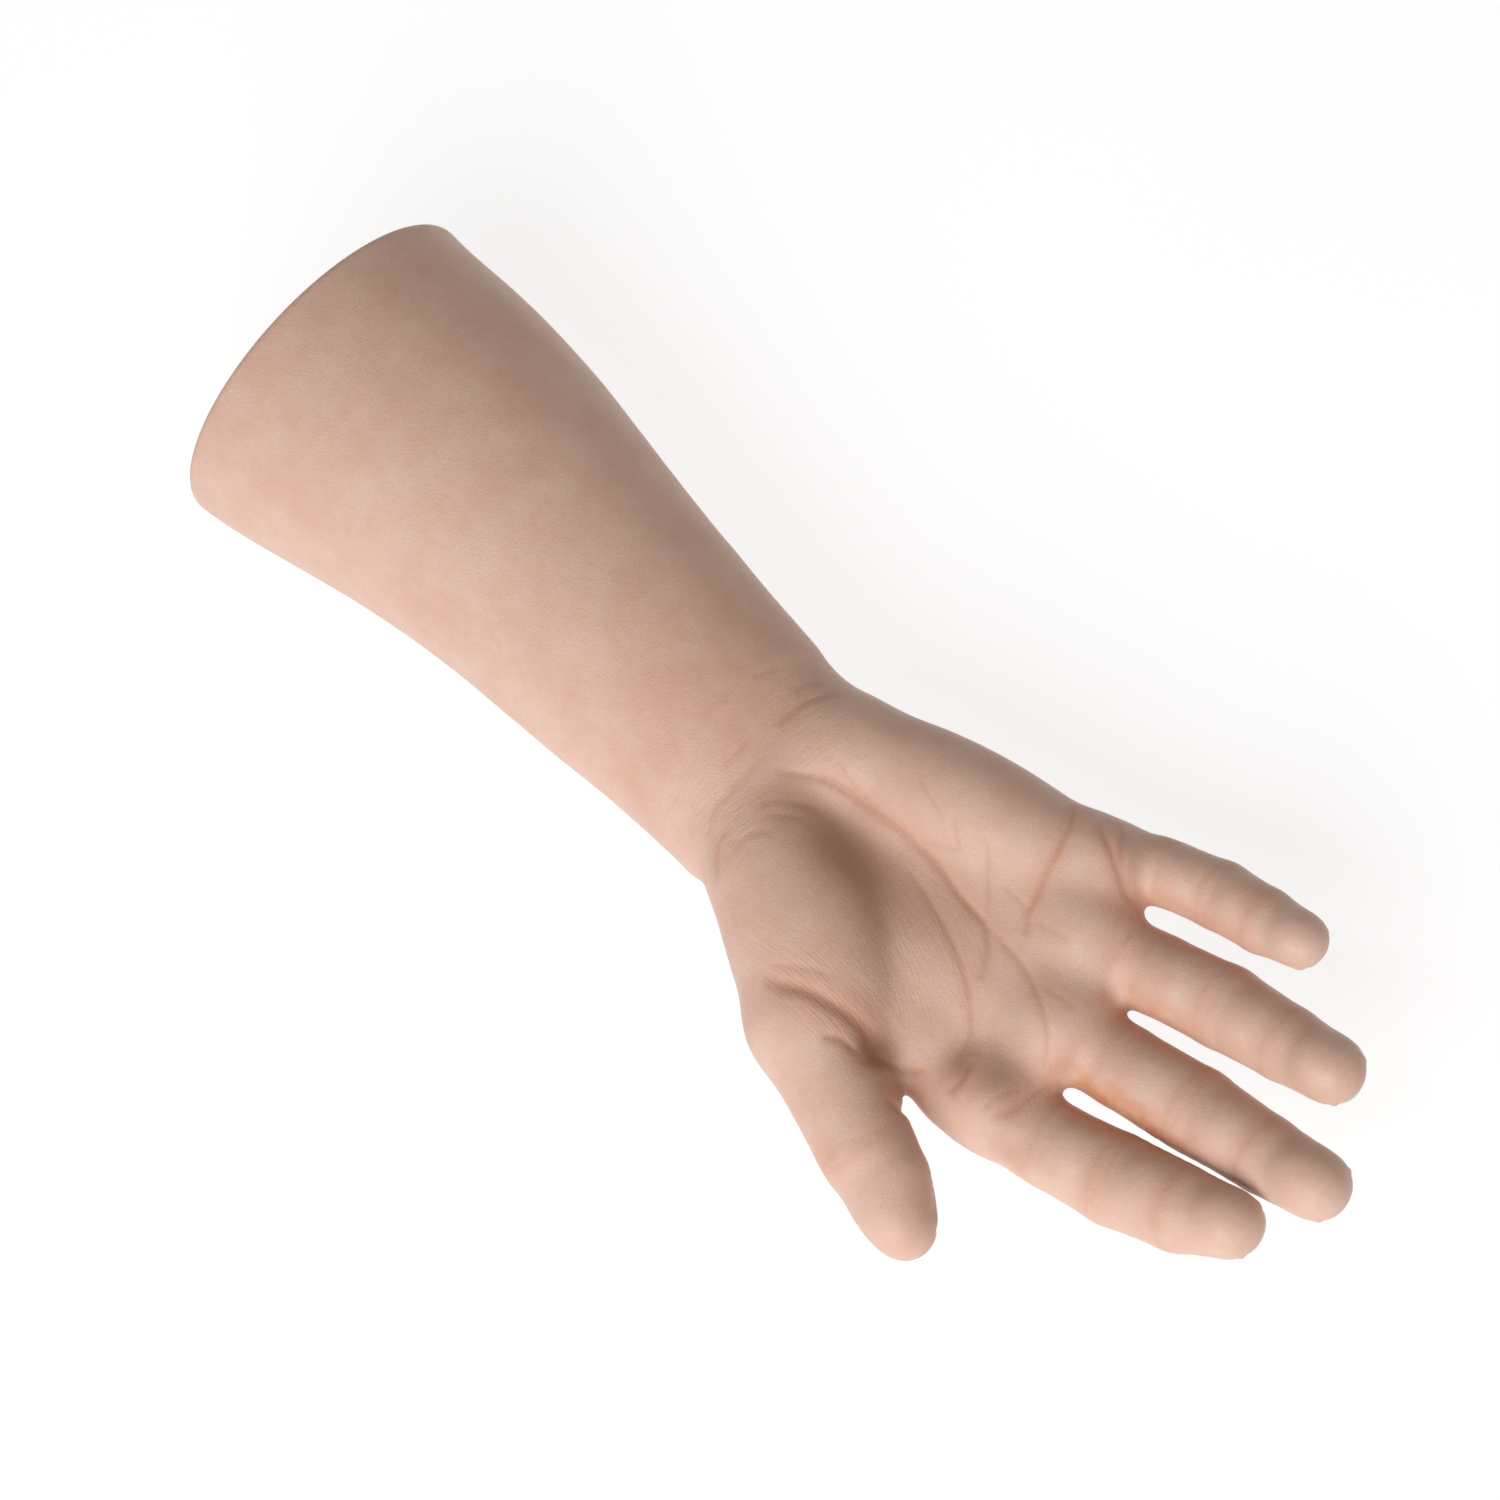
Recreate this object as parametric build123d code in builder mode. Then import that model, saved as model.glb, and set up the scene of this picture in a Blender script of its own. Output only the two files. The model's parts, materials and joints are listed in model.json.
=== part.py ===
from build123d import *
import os
from collections import namedtuple
from math import cos, radians, sin, tan

# Passive right hand prosthesis with a forearm-length socket.
# Origin at the centre of the socket brim, +X towards the fingers, +Y to the little-finger side,
# +Z out of the palm. Every length is in millimetres and every angle in degrees.

# ---- Forearm: distance from the brim, sideways offset, half width, half depth of the skin ----
FOREARM_STATIONS = (
    (0.0, 0.0, 48.3, 38.0),
    (34.0, 3.0, 45.0, 36.0),
    (65.0, 5.0, 40.5, 33.0),
    (100.0, 3.5, 35.2, 28.5),
    (133.0, 1.8, 32.5, 24.5),
    (170.0, 1.0, 29.6, 21.0),
)
FOREARM_END = 157.0     # where the cuff stops short of the wrist
SOCKET_END = 118.0      # outside of the closed end of the socket
SKIN_WALL = 3.0         # silicone
SHELL_WALL = 3.0        # laminate
LINER_WALL = 3.0        # soft gel

# ---- Wrist unit ----
RING_LENGTH = 11.0
RING_RADIUS = 17.0
BUSH_RADIUS = 11.0
SHAFT_RADIUS = 8.0
STUD_RADIUS = 6.0
STUD_START = 142.0
STUD_END = 133.0
NUT_START = 134.0
NUT_LENGTH = 8.0
NUT_RADIUS = 12.0
NUT_CAVITY = 13.5
FLANGE_RADIUS = 16.0
FLANGE_THICKNESS = 3.0
FACE_GAP = 0.3          # axial gap between turning faces
RUNNING_GAP = 0.05      # radial clearance of every running fit
SCREW_CIRCLE = 14.0
SCREW_COUNT = 4
SCREW_RADIUS = 1.25
SCREW_HEAD_RADIUS = 2.2
SCREW_HEAD_HEIGHT = 2.0
SOCKET_HEX = 1.2
SOCKET_DEPTH = 1.2

WRIST_X = 172.0         # flexion axis
FORK_RADIUS = 8.0
FORK_CHEEK = 4.0
TONGUE_HALF = 7.5
FORK_GAP = 0.1
WRIST_PIN_RADIUS = 3.0

# ---- Hand plane: the hand leans to the little-finger side of the forearm ----
HAND_LEAN = 7.0
PLATE_HALF = 2.0
PALM_HALF = 15.0
PALM_WALL = 2.5
PALM_START = -2.0
PALM_SETBACK = 7.0      # from each knuckle axis back to the front of the palm
PALM_RADIAL_SIDE = ((-2.0, -26.0), (14.0, -31.0), (78.0, -46.0))
PALM_ULNAR_SIDE = ((82.0, 40.5), (50.0, 38.0), (14.0, 33.0), (-2.0, 27.0))
LUG_LENGTH = 26.0
LUG_ROOT_RADIUS = 6.0
CHASSIS_HEEL = ((26.0, 0.0), 12.0)      # centre and radius of each round end of the plate
CHASSIS_ARM_SEAT = ((20.0, -16.0), 8.0)
TONGUE_LENGTH = 22.0
TONGUE_HEIGHT = 12.0
WRIST_SPACE = 11.5      # radius of the palm's opening round the wrist fork
WRIST_SPACE_MARGIN = 1.0

# ---- Finger armature ----
BAR_HALF_HEIGHT = 3.5
BAR_HALF_WIDTH = 2.0
CHEEK_WIDTH = 2.3
FORK_DEPTH = 6.5        # from the hinge axis to the bottom of the fork
FORK_ROOT = 12.0
PIN_RADIUS = 1.5
BARREL_RADIUS = 4.5     # space round each hinge, inside the sleeves
BARREL_HALF = 5.0
SLEEVE_GAP = 0.6
REACH = 45.0            # size of the cutting wedges

# A finger's root is its knuckle axis in the hand plane. Its lengths run knuckle to middle joint,
# middle joint to end joint, and end joint to tip, and its radii are at those four places.
Finger = namedtuple("Finger", "root yaw pitch lengths radii nail")
FINGERS = {
    "index": Finger((107.0, -33.2), 9.3, 9.0, (22.0, 19.0, 22.7), (11.3, 10.4, 9.3, 8.2), (11.5, 11.5)),
    "middle": Finger((109.0, -8.3), 2.8, 9.0, (26.0, 21.7, 24.6), (10.8, 10.3, 9.3, 8.3), (12.0, 12.0)),
    "ring": Finger((103.5, 13.3), 5.5, 9.0, (22.6, 19.7, 22.3), (10.0, 9.8, 9.0, 8.0), (11.5, 11.0)),
    "little": Finger((92.5, 33.2), 9.2, 8.0, (17.2, 13.8, 18.2), (8.6, 8.3, 7.6, 6.8), (9.0, 9.5)),
}
MIDDLE_BEND = 10.0      # resting bend of the middle joint
END_BEND = 7.0          # fixed bend of the end joint
KNUCKLE_TILT = (17.0, 4.0)          # palm-side and back-side relief of a sleeve at the knuckle
JOINT_TILT = (31.0, 7.0)            # the same on each side of a middle joint

# ---- Thumb ----
THUMB_ROOT = (10.0, -20.0, 3.0)
THUMB_HINGE = (76.5, -60.0, 10.0)
THUMB_TIP_YAW = -27.4
THUMB_TIP_PITCH = 1.5
THUMB_TIP_LENGTH = 31.5
THUMB_ROLL = 28.0       # turns the thumb pad towards the fingers
THUMB_RADII = (15.0, 11.6, 11.4, 9.0)
THUMB_NAIL = (14.0, 12.5)
THUMB_SLEEVE_START = 30.0
THUMB_SLEEVE_RADIUS = 13.5
THUMB_BAR_LENGTH = 16.0
THENAR_LENGTH = 62.0
SWING_AXIS = (0.0, -50.0, 10.0)     # runs along the hand
SWING_HEAD = (47.4, 49.0)
SWING_LUG = (49.0, 55.0)
SWING_BARREL = (55.3, 66.0)
SWING_HEAD_RADIUS = 3.2
SWING_SPACE_SPAN = (46.8, 67.5)
SWING_PIN_RADIUS = 2.0
SWING_BARREL_RADIUS = 4.5
SWING_LUG_RADIUS = 5.0
SWING_CAVITY = 6.0
SWING_TILT = (23.0, 18.0)
ARM_THICKNESS = 3.0
ARM_END = (50.0, -43.5)
ARM_END_RADIUS = 5.0
ARM_ROOT = (20.0, -17.0)
ARM_ROOT_RADIUS = 6.5
ARM_FOOT_OFFSET = 3.5   # the swing lug's foot, towards the palm's middle
ARM_FOOT_WIDTH = 6.4
ARM_SCREWS = ((20.0, -17.0), (28.0, -24.0))
NAIL_THICKNESS = 0.9
NAIL_SETBACK = 1.5      # from the tip back to the nail's free edge
NAIL_CORNER = 3.5
NAIL_RISE = 0.1
PIN_CHAMFER = 0.3


def heading(yaw, pitch=0.0):
    """Unit vector in the hand, yaw degrees towards the little finger and pitch degrees palmwards."""
    turn = radians(HAND_LEAN + yaw)
    rise = radians(pitch)
    return Vector(cos(rise) * cos(turn), cos(rise) * sin(turn), sin(rise))


def in_palm(yaw):
    """Unit vector in the hand plane's own coordinates."""
    return Vector(cos(radians(yaw)), sin(radians(yaw)))


HAND = Plane(origin=(WRIST_X, 0, 0), x_dir=heading(0), z_dir=(0, 0, 1))


def hand_point(x, y, z=0.0):
    """A point given in the hand plane, in the frame of the whole prosthesis."""
    return HAND.from_local_coords(Vector(x, y, z))


def hinge_plane(origin, yaw, pitch, roll=0.0):
    """Plane of a finger's bending: x along the phalanx, y to its pad, z along the hinge axis."""
    along = heading(yaw, pitch)
    across = heading(yaw - 90.0)
    return Plane(origin=origin, x_dir=along, z_dir=across.rotate(Axis((0, 0, 0), along), roll))


def further(plane, distance, bend=0.0):
    """The plane moved along its x direction and then bent towards the pad."""
    along = plane.x_dir.rotate(Axis((0, 0, 0), plane.z_dir), bend)
    return Plane(origin=plane.origin + plane.x_dir * distance, x_dir=along, z_dir=plane.z_dir)


def forearm_blank(inset, start, end):
    """Solid forearm, inset from the outer skin, between two distances from the brim."""
    with BuildPart() as blank:
        for x, offset, half_width, half_depth in FOREARM_STATIONS:
            with BuildSketch(Plane(origin=(x, offset, 0), x_dir=(0, 1, 0), z_dir=(1, 0, 0))):
                Ellipse(half_width - inset, half_depth - inset)
        loft()
        split(bisect_by=Plane.YZ.offset(end), keep=Keep.BOTTOM)
        if start > 0:
            split(bisect_by=Plane.YZ.offset(start), keep=Keep.TOP)
    return blank.part


def disc(start, length, radius, bore=0.0):
    """Round piece on the forearm axis."""
    with BuildPart() as piece:
        with BuildSketch(Plane.YZ.offset(start)):
            Circle(radius)
            if bore > 0:
                Circle(bore, mode=Mode.SUBTRACT)
        extrude(amount=length)
    return piece.part


def pin(plane, radius, half_length):
    """Round pin along the plane's normal, with chamfered ends."""
    with BuildPart() as piece:
        with BuildSketch(plane):
            Circle(radius)
        extrude(amount=half_length, both=True)
        chamfer(piece.edges().filter_by(GeomType.CIRCLE), length=PIN_CHAMFER)
    return piece.part


def rod(plane, radius, half_length):
    """Plain round cutter along the plane's normal."""
    with BuildPart() as piece:
        with BuildSketch(plane):
            Circle(radius)
        extrude(amount=half_length, both=True)
    return piece.part


def cap_screws(plane, places, length):
    """Socket-head screws whose heads end flush with the plane and point along its normal."""
    with BuildPart() as piece:
        with BuildSketch(plane):
            with Locations(*places):
                Circle(SCREW_HEAD_RADIUS)
        extrude(amount=-SCREW_HEAD_HEIGHT)
        with BuildSketch(plane.offset(-SCREW_HEAD_HEIGHT)):
            with Locations(*places):
                Circle(SCREW_RADIUS)
        extrude(amount=-length)
    return piece.part


def drive_sockets(plane, places):
    """Hexagonal recesses of the screws."""
    with BuildPart() as piece:
        with BuildSketch(plane):
            with Locations(*places):
                RegularPolygon(SOCKET_HEX, 6)
        extrude(amount=-SOCKET_DEPTH)
    return piece.part


def relief(plane, side, tilts):
    """Wedge swept by the neighbour of a sleeve: side is 1 for the moving sleeve, -1 for the fixed one."""
    palm_tilt, back_tilt = tilts
    near = side * SLEEVE_GAP
    with BuildPart() as wedge:
        with BuildSketch(plane):
            with BuildLine():
                Polyline(
                    (near, 0),
                    (near + side * REACH * tan(radians(palm_tilt)), REACH),
                    (-side * REACH, REACH),
                    (-side * REACH, -REACH),
                    (near + side * REACH * tan(radians(back_tilt)), -REACH),
                    close=True,
                )
            make_face()
        extrude(amount=REACH, both=True)
    return wedge.part


def tapered(plane, start, length, start_radius, end_radius):
    """Round tapered solid about the plane's x direction."""
    with BuildPart() as piece:
        with BuildSketch(plane):
            with BuildLine():
                Polyline((start, 0), (start, start_radius), (length, end_radius), (length, 0), close=True)
            make_face()
        revolve(axis=Axis(plane.origin, plane.x_dir))
    return piece.part


def fingertip(plane, length, start_radius, tip_radius):
    """Tapered solid with a round end."""
    centre = length - tip_radius
    slant = tip_radius * sin(radians(45))
    with BuildPart() as piece:
        with BuildSketch(plane):
            with BuildLine():
                Polyline((length, 0), (0, 0), (0, start_radius), (centre, tip_radius))
                ThreePointArc((centre, tip_radius), (centre + slant, slant), (length, 0))
            make_face()
        revolve(axis=Axis(plane.origin, plane.x_dir))
        with Locations(plane.origin):
            Sphere(start_radius)
    return piece.part


def link(plane, length, bored):
    """Fork on the hinge axis, bar along the phalanx, and at the far end a tongue, bored or plain."""
    cheek_start = BAR_HALF_WIDTH + FORK_GAP
    with BuildPart() as piece:
        with BuildSketch(plane):
            with Locations(((FORK_DEPTH + length) / 2, 0)):
                Rectangle(length - FORK_DEPTH, 2 * BAR_HALF_HEIGHT)
            with Locations((length, 0)):
                Circle(BAR_HALF_HEIGHT)
        extrude(amount=BAR_HALF_WIDTH, both=True)
        with BuildSketch(plane):
            with Locations(((FORK_DEPTH + FORK_ROOT) / 2, 0)):
                Rectangle(FORK_ROOT - FORK_DEPTH, 2 * BAR_HALF_HEIGHT)
        extrude(amount=cheek_start + CHEEK_WIDTH, both=True)
        with BuildSketch(plane.offset(cheek_start), plane.offset(-cheek_start - CHEEK_WIDTH)):
            with Locations((FORK_DEPTH / 2, 0)):
                Rectangle(FORK_DEPTH, 2 * BAR_HALF_HEIGHT)
            Circle(BAR_HALF_HEIGHT)
        extrude(amount=CHEEK_WIDTH)
        add(rod(plane, PIN_RADIUS + RUNNING_GAP, BARREL_HALF), mode=Mode.SUBTRACT)
        if bored:
            add(rod(further(plane, length), PIN_RADIUS, BARREL_HALF), mode=Mode.SUBTRACT)
    return piece.part


def nail_plate(plane, length, radius, size):
    """Curved nail on the back of the last phalanx."""
    nail_length, nail_width = size
    centre = length - 0.5 * nail_length - NAIL_SETBACK
    back = Plane(origin=plane.origin + plane.x_dir * centre, x_dir=plane.x_dir, z_dir=-plane.y_dir)
    across = Plane(origin=plane.origin + plane.x_dir * (centre - nail_length), x_dir=plane.y_dir,
                   z_dir=plane.x_dir)
    with BuildPart() as piece:
        with BuildSketch(across):
            Circle(radius)
            Circle(radius - NAIL_THICKNESS, mode=Mode.SUBTRACT)
        extrude(amount=2 * nail_length)
        with BuildSketch(back):
            RectangleRounded(nail_length, nail_width, NAIL_CORNER)
        extrude(amount=2 * radius, mode=Mode.INTERSECT)
    return piece.part


def publish(piece, name):
    """Label a finished piece and write it."""
    piece.label = name
    export_step(piece, f"parts/{name}.step")


os.makedirs("parts", exist_ok=True)

# ================= Forearm: cuff, socket, liner, filler =================
with BuildPart() as forearm_skin:
    add(forearm_blank(0, 0, FOREARM_END))
    add(forearm_blank(SKIN_WALL, 0, FOREARM_END), mode=Mode.SUBTRACT)
publish(forearm_skin.part, "forearm_skin")

SHELL_INSET = SKIN_WALL + SHELL_WALL
LINER_INSET = SHELL_INSET + LINER_WALL
SHELL_INNER_END = SOCKET_END - SHELL_WALL
with BuildPart() as socket_shell:
    add(forearm_blank(SKIN_WALL, 0, SOCKET_END))
    add(forearm_blank(SHELL_INSET, 0, SHELL_INNER_END), mode=Mode.SUBTRACT)
publish(socket_shell.part, "socket_shell")

with BuildPart() as socket_liner:
    add(forearm_blank(SHELL_INSET, 0, SHELL_INNER_END))
    add(forearm_blank(LINER_INSET, 0, SHELL_INNER_END - LINER_WALL), mode=Mode.SUBTRACT)
publish(socket_liner.part, "socket_liner")

RING_START = FOREARM_END - RING_LENGTH
CAVITY_START = STUD_END - FLANGE_THICKNESS
with BuildPart() as forearm_filler:
    add(forearm_blank(SKIN_WALL, SOCKET_END, FOREARM_END))
    add(disc(RING_START, RING_LENGTH, RING_RADIUS), mode=Mode.SUBTRACT)
    add(disc(CAVITY_START, RING_START - CAVITY_START, NUT_CAVITY), mode=Mode.SUBTRACT)
publish(forearm_filler.part, "forearm_filler")

# ================= Wrist unit, fixed half =================
RING_FACE = Plane.YZ.offset(FOREARM_END)
SCREW_PLACES = [
    (SCREW_CIRCLE * cos(radians(turn)), SCREW_CIRCLE * sin(radians(turn)))
    for turn in (45 + 360 * i / SCREW_COUNT for i in range(SCREW_COUNT))
]
SCREW_SHANK = RING_LENGTH - SCREW_HEAD_HEIGHT
SCREW_BLANKS = cap_screws(RING_FACE, SCREW_PLACES, SCREW_SHANK)

with BuildPart() as lamination_ring:
    add(disc(RING_START, RING_LENGTH, RING_RADIUS, BUSH_RADIUS))
    add(SCREW_BLANKS, mode=Mode.SUBTRACT)
publish(lamination_ring.part, "lamination_ring")

with BuildPart() as ring_screws:
    add(SCREW_BLANKS)
    add(drive_sockets(RING_FACE, SCREW_PLACES), mode=Mode.SUBTRACT)
publish(ring_screws.part, "ring_screws")

with BuildPart() as friction_bush:
    add(disc(RING_START, RING_LENGTH, BUSH_RADIUS, SHAFT_RADIUS + RUNNING_GAP))
publish(friction_bush.part, "friction_bush")

# ================= Wrist unit, turning half =================
FLANGE_START = FOREARM_END + FACE_GAP
WRIST_PIVOT = Plane(origin=(WRIST_X, 0, 0), x_dir=(1, 0, 0), z_dir=(0, -1, 0))
CHEEK_START = TONGUE_HALF + FORK_GAP
CHEEK_END = CHEEK_START + FORK_CHEEK
CHEEK_REACH = WRIST_X - FLANGE_START - FLANGE_THICKNESS / 2
with BuildPart() as wrist_rotor:
    add(disc(FLANGE_START, FLANGE_THICKNESS, FLANGE_RADIUS))
    add(disc(STUD_START, FLANGE_START - STUD_START, SHAFT_RADIUS))
    add(disc(STUD_END, STUD_START - STUD_END, STUD_RADIUS))
    with BuildSketch(WRIST_PIVOT.offset(CHEEK_START), WRIST_PIVOT.offset(-CHEEK_END)):
        with Locations((-CHEEK_REACH / 2, 0)):
            Rectangle(CHEEK_REACH, 2 * FORK_RADIUS)
        Circle(FORK_RADIUS)
    extrude(amount=FORK_CHEEK)
    add(rod(WRIST_PIVOT, WRIST_PIN_RADIUS, CHEEK_END), mode=Mode.SUBTRACT)
publish(wrist_rotor.part, "wrist_rotor")

WASHER_START = STUD_START + FACE_GAP
with BuildPart() as spring_washer:
    add(disc(WASHER_START, RING_START - FACE_GAP - WASHER_START, NUT_RADIUS, SHAFT_RADIUS))
publish(spring_washer.part, "spring_washer")

with BuildPart() as rotor_nut:
    with BuildSketch(Plane.YZ.offset(NUT_START)):
        RegularPolygon(NUT_RADIUS, 6)
        Circle(STUD_RADIUS, mode=Mode.SUBTRACT)
    extrude(amount=NUT_LENGTH)
publish(rotor_nut.part, "rotor_nut")

publish(pin(WRIST_PIVOT, WRIST_PIN_RADIUS, CHEEK_END), "wrist_pin")

# ================= Hinges of the fingers and thumb =================
KNUCKLES = {
    name: hinge_plane(hand_point(*finger.root), finger.yaw, finger.pitch)
    for name, finger in FINGERS.items()
}
thumb_rise = Vector(*THUMB_HINGE) - Vector(*THUMB_ROOT)
THUMB_LENGTH = thumb_rise.length
THUMB_AXIS_PLANE = Plane(
    origin=hand_point(*THUMB_ROOT),
    x_dir=hand_point(*THUMB_HINGE) - hand_point(*THUMB_ROOT),
    z_dir=hinge_plane((0, 0, 0), THUMB_TIP_YAW, 0).z_dir,
)
THUMB_JOINT = hinge_plane(hand_point(*THUMB_HINGE), THUMB_TIP_YAW, THUMB_TIP_PITCH, THUMB_ROLL)
swing_x, swing_y, swing_z = SWING_AXIS
swing_centre = sum(SWING_BARREL) / 2
SWING = Plane(origin=hand_point(swing_centre, swing_y, swing_z), x_dir=-HAND.y_dir, z_dir=-HAND.x_dir)


def swing_rod(radius, span):
    """Round solid on the thumb's swing axis, between two distances along the hand."""
    start, end = span
    with BuildPart() as piece:
        with BuildSketch(Plane(hand_point(start, swing_y, swing_z), x_dir=HAND.y_dir, z_dir=HAND.x_dir)):
            Circle(radius)
        extrude(amount=end - start)
    return piece.part


SWING_SPACE = swing_rod(SWING_CAVITY, SWING_SPACE_SPAN)

# ================= Palm: chassis, thumb arm, pad, filler, skin =================
ARM_TOP = HAND.offset(PLATE_HALF + ARM_THICKNESS)
ARM_SCREW_SHANK = ARM_THICKNESS + 2 * PLATE_HALF - SCREW_HEAD_HEIGHT
ARM_SCREW_BLANKS = cap_screws(ARM_TOP, ARM_SCREWS, ARM_SCREW_SHANK)

with BuildPart() as palm_chassis:
    with BuildSketch(HAND.offset(-PLATE_HALF)):
        for centre, radius in (CHASSIS_HEEL, CHASSIS_ARM_SEAT):
            with Locations(centre):
                Circle(radius)
        for finger in FINGERS.values():
            lug_root = Vector(*finger.root) - in_palm(finger.yaw) * LUG_LENGTH
            with Locations((lug_root.X, lug_root.Y)):
                Circle(LUG_ROOT_RADIUS)
        make_hull()
    extrude(amount=2 * PLATE_HALF)
    with BuildSketch(WRIST_PIVOT):
        with Locations((TONGUE_LENGTH / 2, 0)):
            Rectangle(TONGUE_LENGTH, TONGUE_HEIGHT)
        Circle(FORK_RADIUS)
    extrude(amount=TONGUE_HALF, both=True)
    for name, knuckle in KNUCKLES.items():
        upright = Plane(origin=knuckle.origin, x_dir=heading(FINGERS[name].yaw), z_dir=knuckle.z_dir)
        with BuildSketch(upright):
            with Locations((-LUG_LENGTH / 2, 0)):
                Rectangle(LUG_LENGTH, 2 * BAR_HALF_HEIGHT)
            Circle(BAR_HALF_HEIGHT)
        extrude(amount=BAR_HALF_WIDTH, both=True)
        add(rod(knuckle, PIN_RADIUS, BARREL_HALF), mode=Mode.SUBTRACT)
    add(rod(WRIST_PIVOT, WRIST_PIN_RADIUS + RUNNING_GAP, CHEEK_END), mode=Mode.SUBTRACT)
    add(ARM_SCREW_BLANKS, mode=Mode.SUBTRACT)
publish(palm_chassis.part, "palm_chassis")

with BuildPart() as knuckle_pins:
    for knuckle in KNUCKLES.values():
        add(pin(knuckle, PIN_RADIUS, BAR_HALF_WIDTH + FORK_GAP + CHEEK_WIDTH))
publish(knuckle_pins.part, "knuckle_pins")

lug_start, lug_end = SWING_LUG
with BuildPart() as thumb_arm:
    with BuildSketch(HAND.offset(PLATE_HALF)):
        with Locations(ARM_ROOT):
            Circle(ARM_ROOT_RADIUS)
        with Locations(ARM_END):
            Circle(ARM_END_RADIUS)
        make_hull()
    extrude(amount=ARM_THICKNESS)
    with BuildSketch(Plane(origin=hand_point(lug_start, swing_y, 0), x_dir=HAND.y_dir, z_dir=HAND.x_dir)):
        with Locations((ARM_FOOT_OFFSET, (PLATE_HALF + swing_z) / 2)):
            Rectangle(ARM_FOOT_WIDTH, swing_z - PLATE_HALF)
        with Locations((0, swing_z)):
            Circle(SWING_LUG_RADIUS)
    extrude(amount=lug_end - lug_start)
    add(swing_rod(SWING_PIN_RADIUS, SWING_LUG), mode=Mode.SUBTRACT)
    add(ARM_SCREW_BLANKS, mode=Mode.SUBTRACT)
publish(thumb_arm.part, "thumb_arm")

with BuildPart() as arm_screws:
    add(ARM_SCREW_BLANKS)
    add(drive_sockets(ARM_TOP, ARM_SCREWS), mode=Mode.SUBTRACT)
publish(arm_screws.part, "arm_screws")

with BuildPart() as swing_pin:
    add(swing_rod(SWING_PIN_RADIUS, (lug_start, SWING_BARREL[1])))
    add(swing_rod(SWING_HEAD_RADIUS, SWING_HEAD))
publish(swing_pin.part, "swing_pin")

with BuildPart() as thenar_pad:
    add(tapered(THUMB_AXIS_PLANE, 0, THENAR_LENGTH, THUMB_RADII[0], THUMB_RADII[1]))
    add(relief(SWING, -1, (0, 0)), mode=Mode.SUBTRACT)
    add(SWING_SPACE, mode=Mode.SUBTRACT)
    for piece in (palm_chassis, thumb_arm, arm_screws):
        add(piece.part, mode=Mode.SUBTRACT)
publish(thenar_pad.part, "thenar_pad")


def palm_front():
    """Corners of the palm's front edge, two for each finger, set back from the knuckle axes."""
    corners = []
    for finger in FINGERS.values():
        forward = in_palm(finger.yaw)
        sideways = Vector(-forward.Y, forward.X) * finger.radii[0]
        centre = Vector(*finger.root) - forward * PALM_SETBACK
        corners += [(point.X, point.Y) for point in (centre - sideways, centre + sideways)]
    return corners


WRIST_OPENING = rod(WRIST_PIVOT, WRIST_SPACE, CHEEK_END + WRIST_SPACE_MARGIN)
PALM_OUTLINE = [*PALM_RADIAL_SIDE, *palm_front(), *PALM_ULNAR_SIDE]
with BuildPart() as palm_filler:
    with BuildSketch(HAND):
        with BuildLine():
            Polyline(*PALM_OUTLINE, close=True)
        make_face()
        offset(amount=-PALM_WALL, kind=Kind.INTERSECTION)
    extrude(amount=PALM_HALF - PALM_WALL, both=True)
    palm_core = palm_filler.part
    add(WRIST_OPENING, mode=Mode.SUBTRACT)
    for piece in (palm_chassis, thumb_arm, arm_screws, thenar_pad):
        add(piece.part, mode=Mode.SUBTRACT)
    add(SWING_SPACE, mode=Mode.SUBTRACT)
publish(palm_filler.part, "palm_filler")

with BuildPart() as palm_skin:
    with BuildSketch(HAND):
        with BuildLine():
            Polyline(*PALM_OUTLINE, close=True)
        make_face()
    extrude(amount=PALM_HALF, both=True)
    add(palm_core, mode=Mode.SUBTRACT)
    add(WRIST_OPENING, mode=Mode.SUBTRACT)
    for piece in (palm_chassis, thumb_arm, thenar_pad):
        add(piece.part, mode=Mode.SUBTRACT)
    add(SWING_SPACE, mode=Mode.SUBTRACT)
publish(palm_skin.part, "palm_skin")

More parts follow.
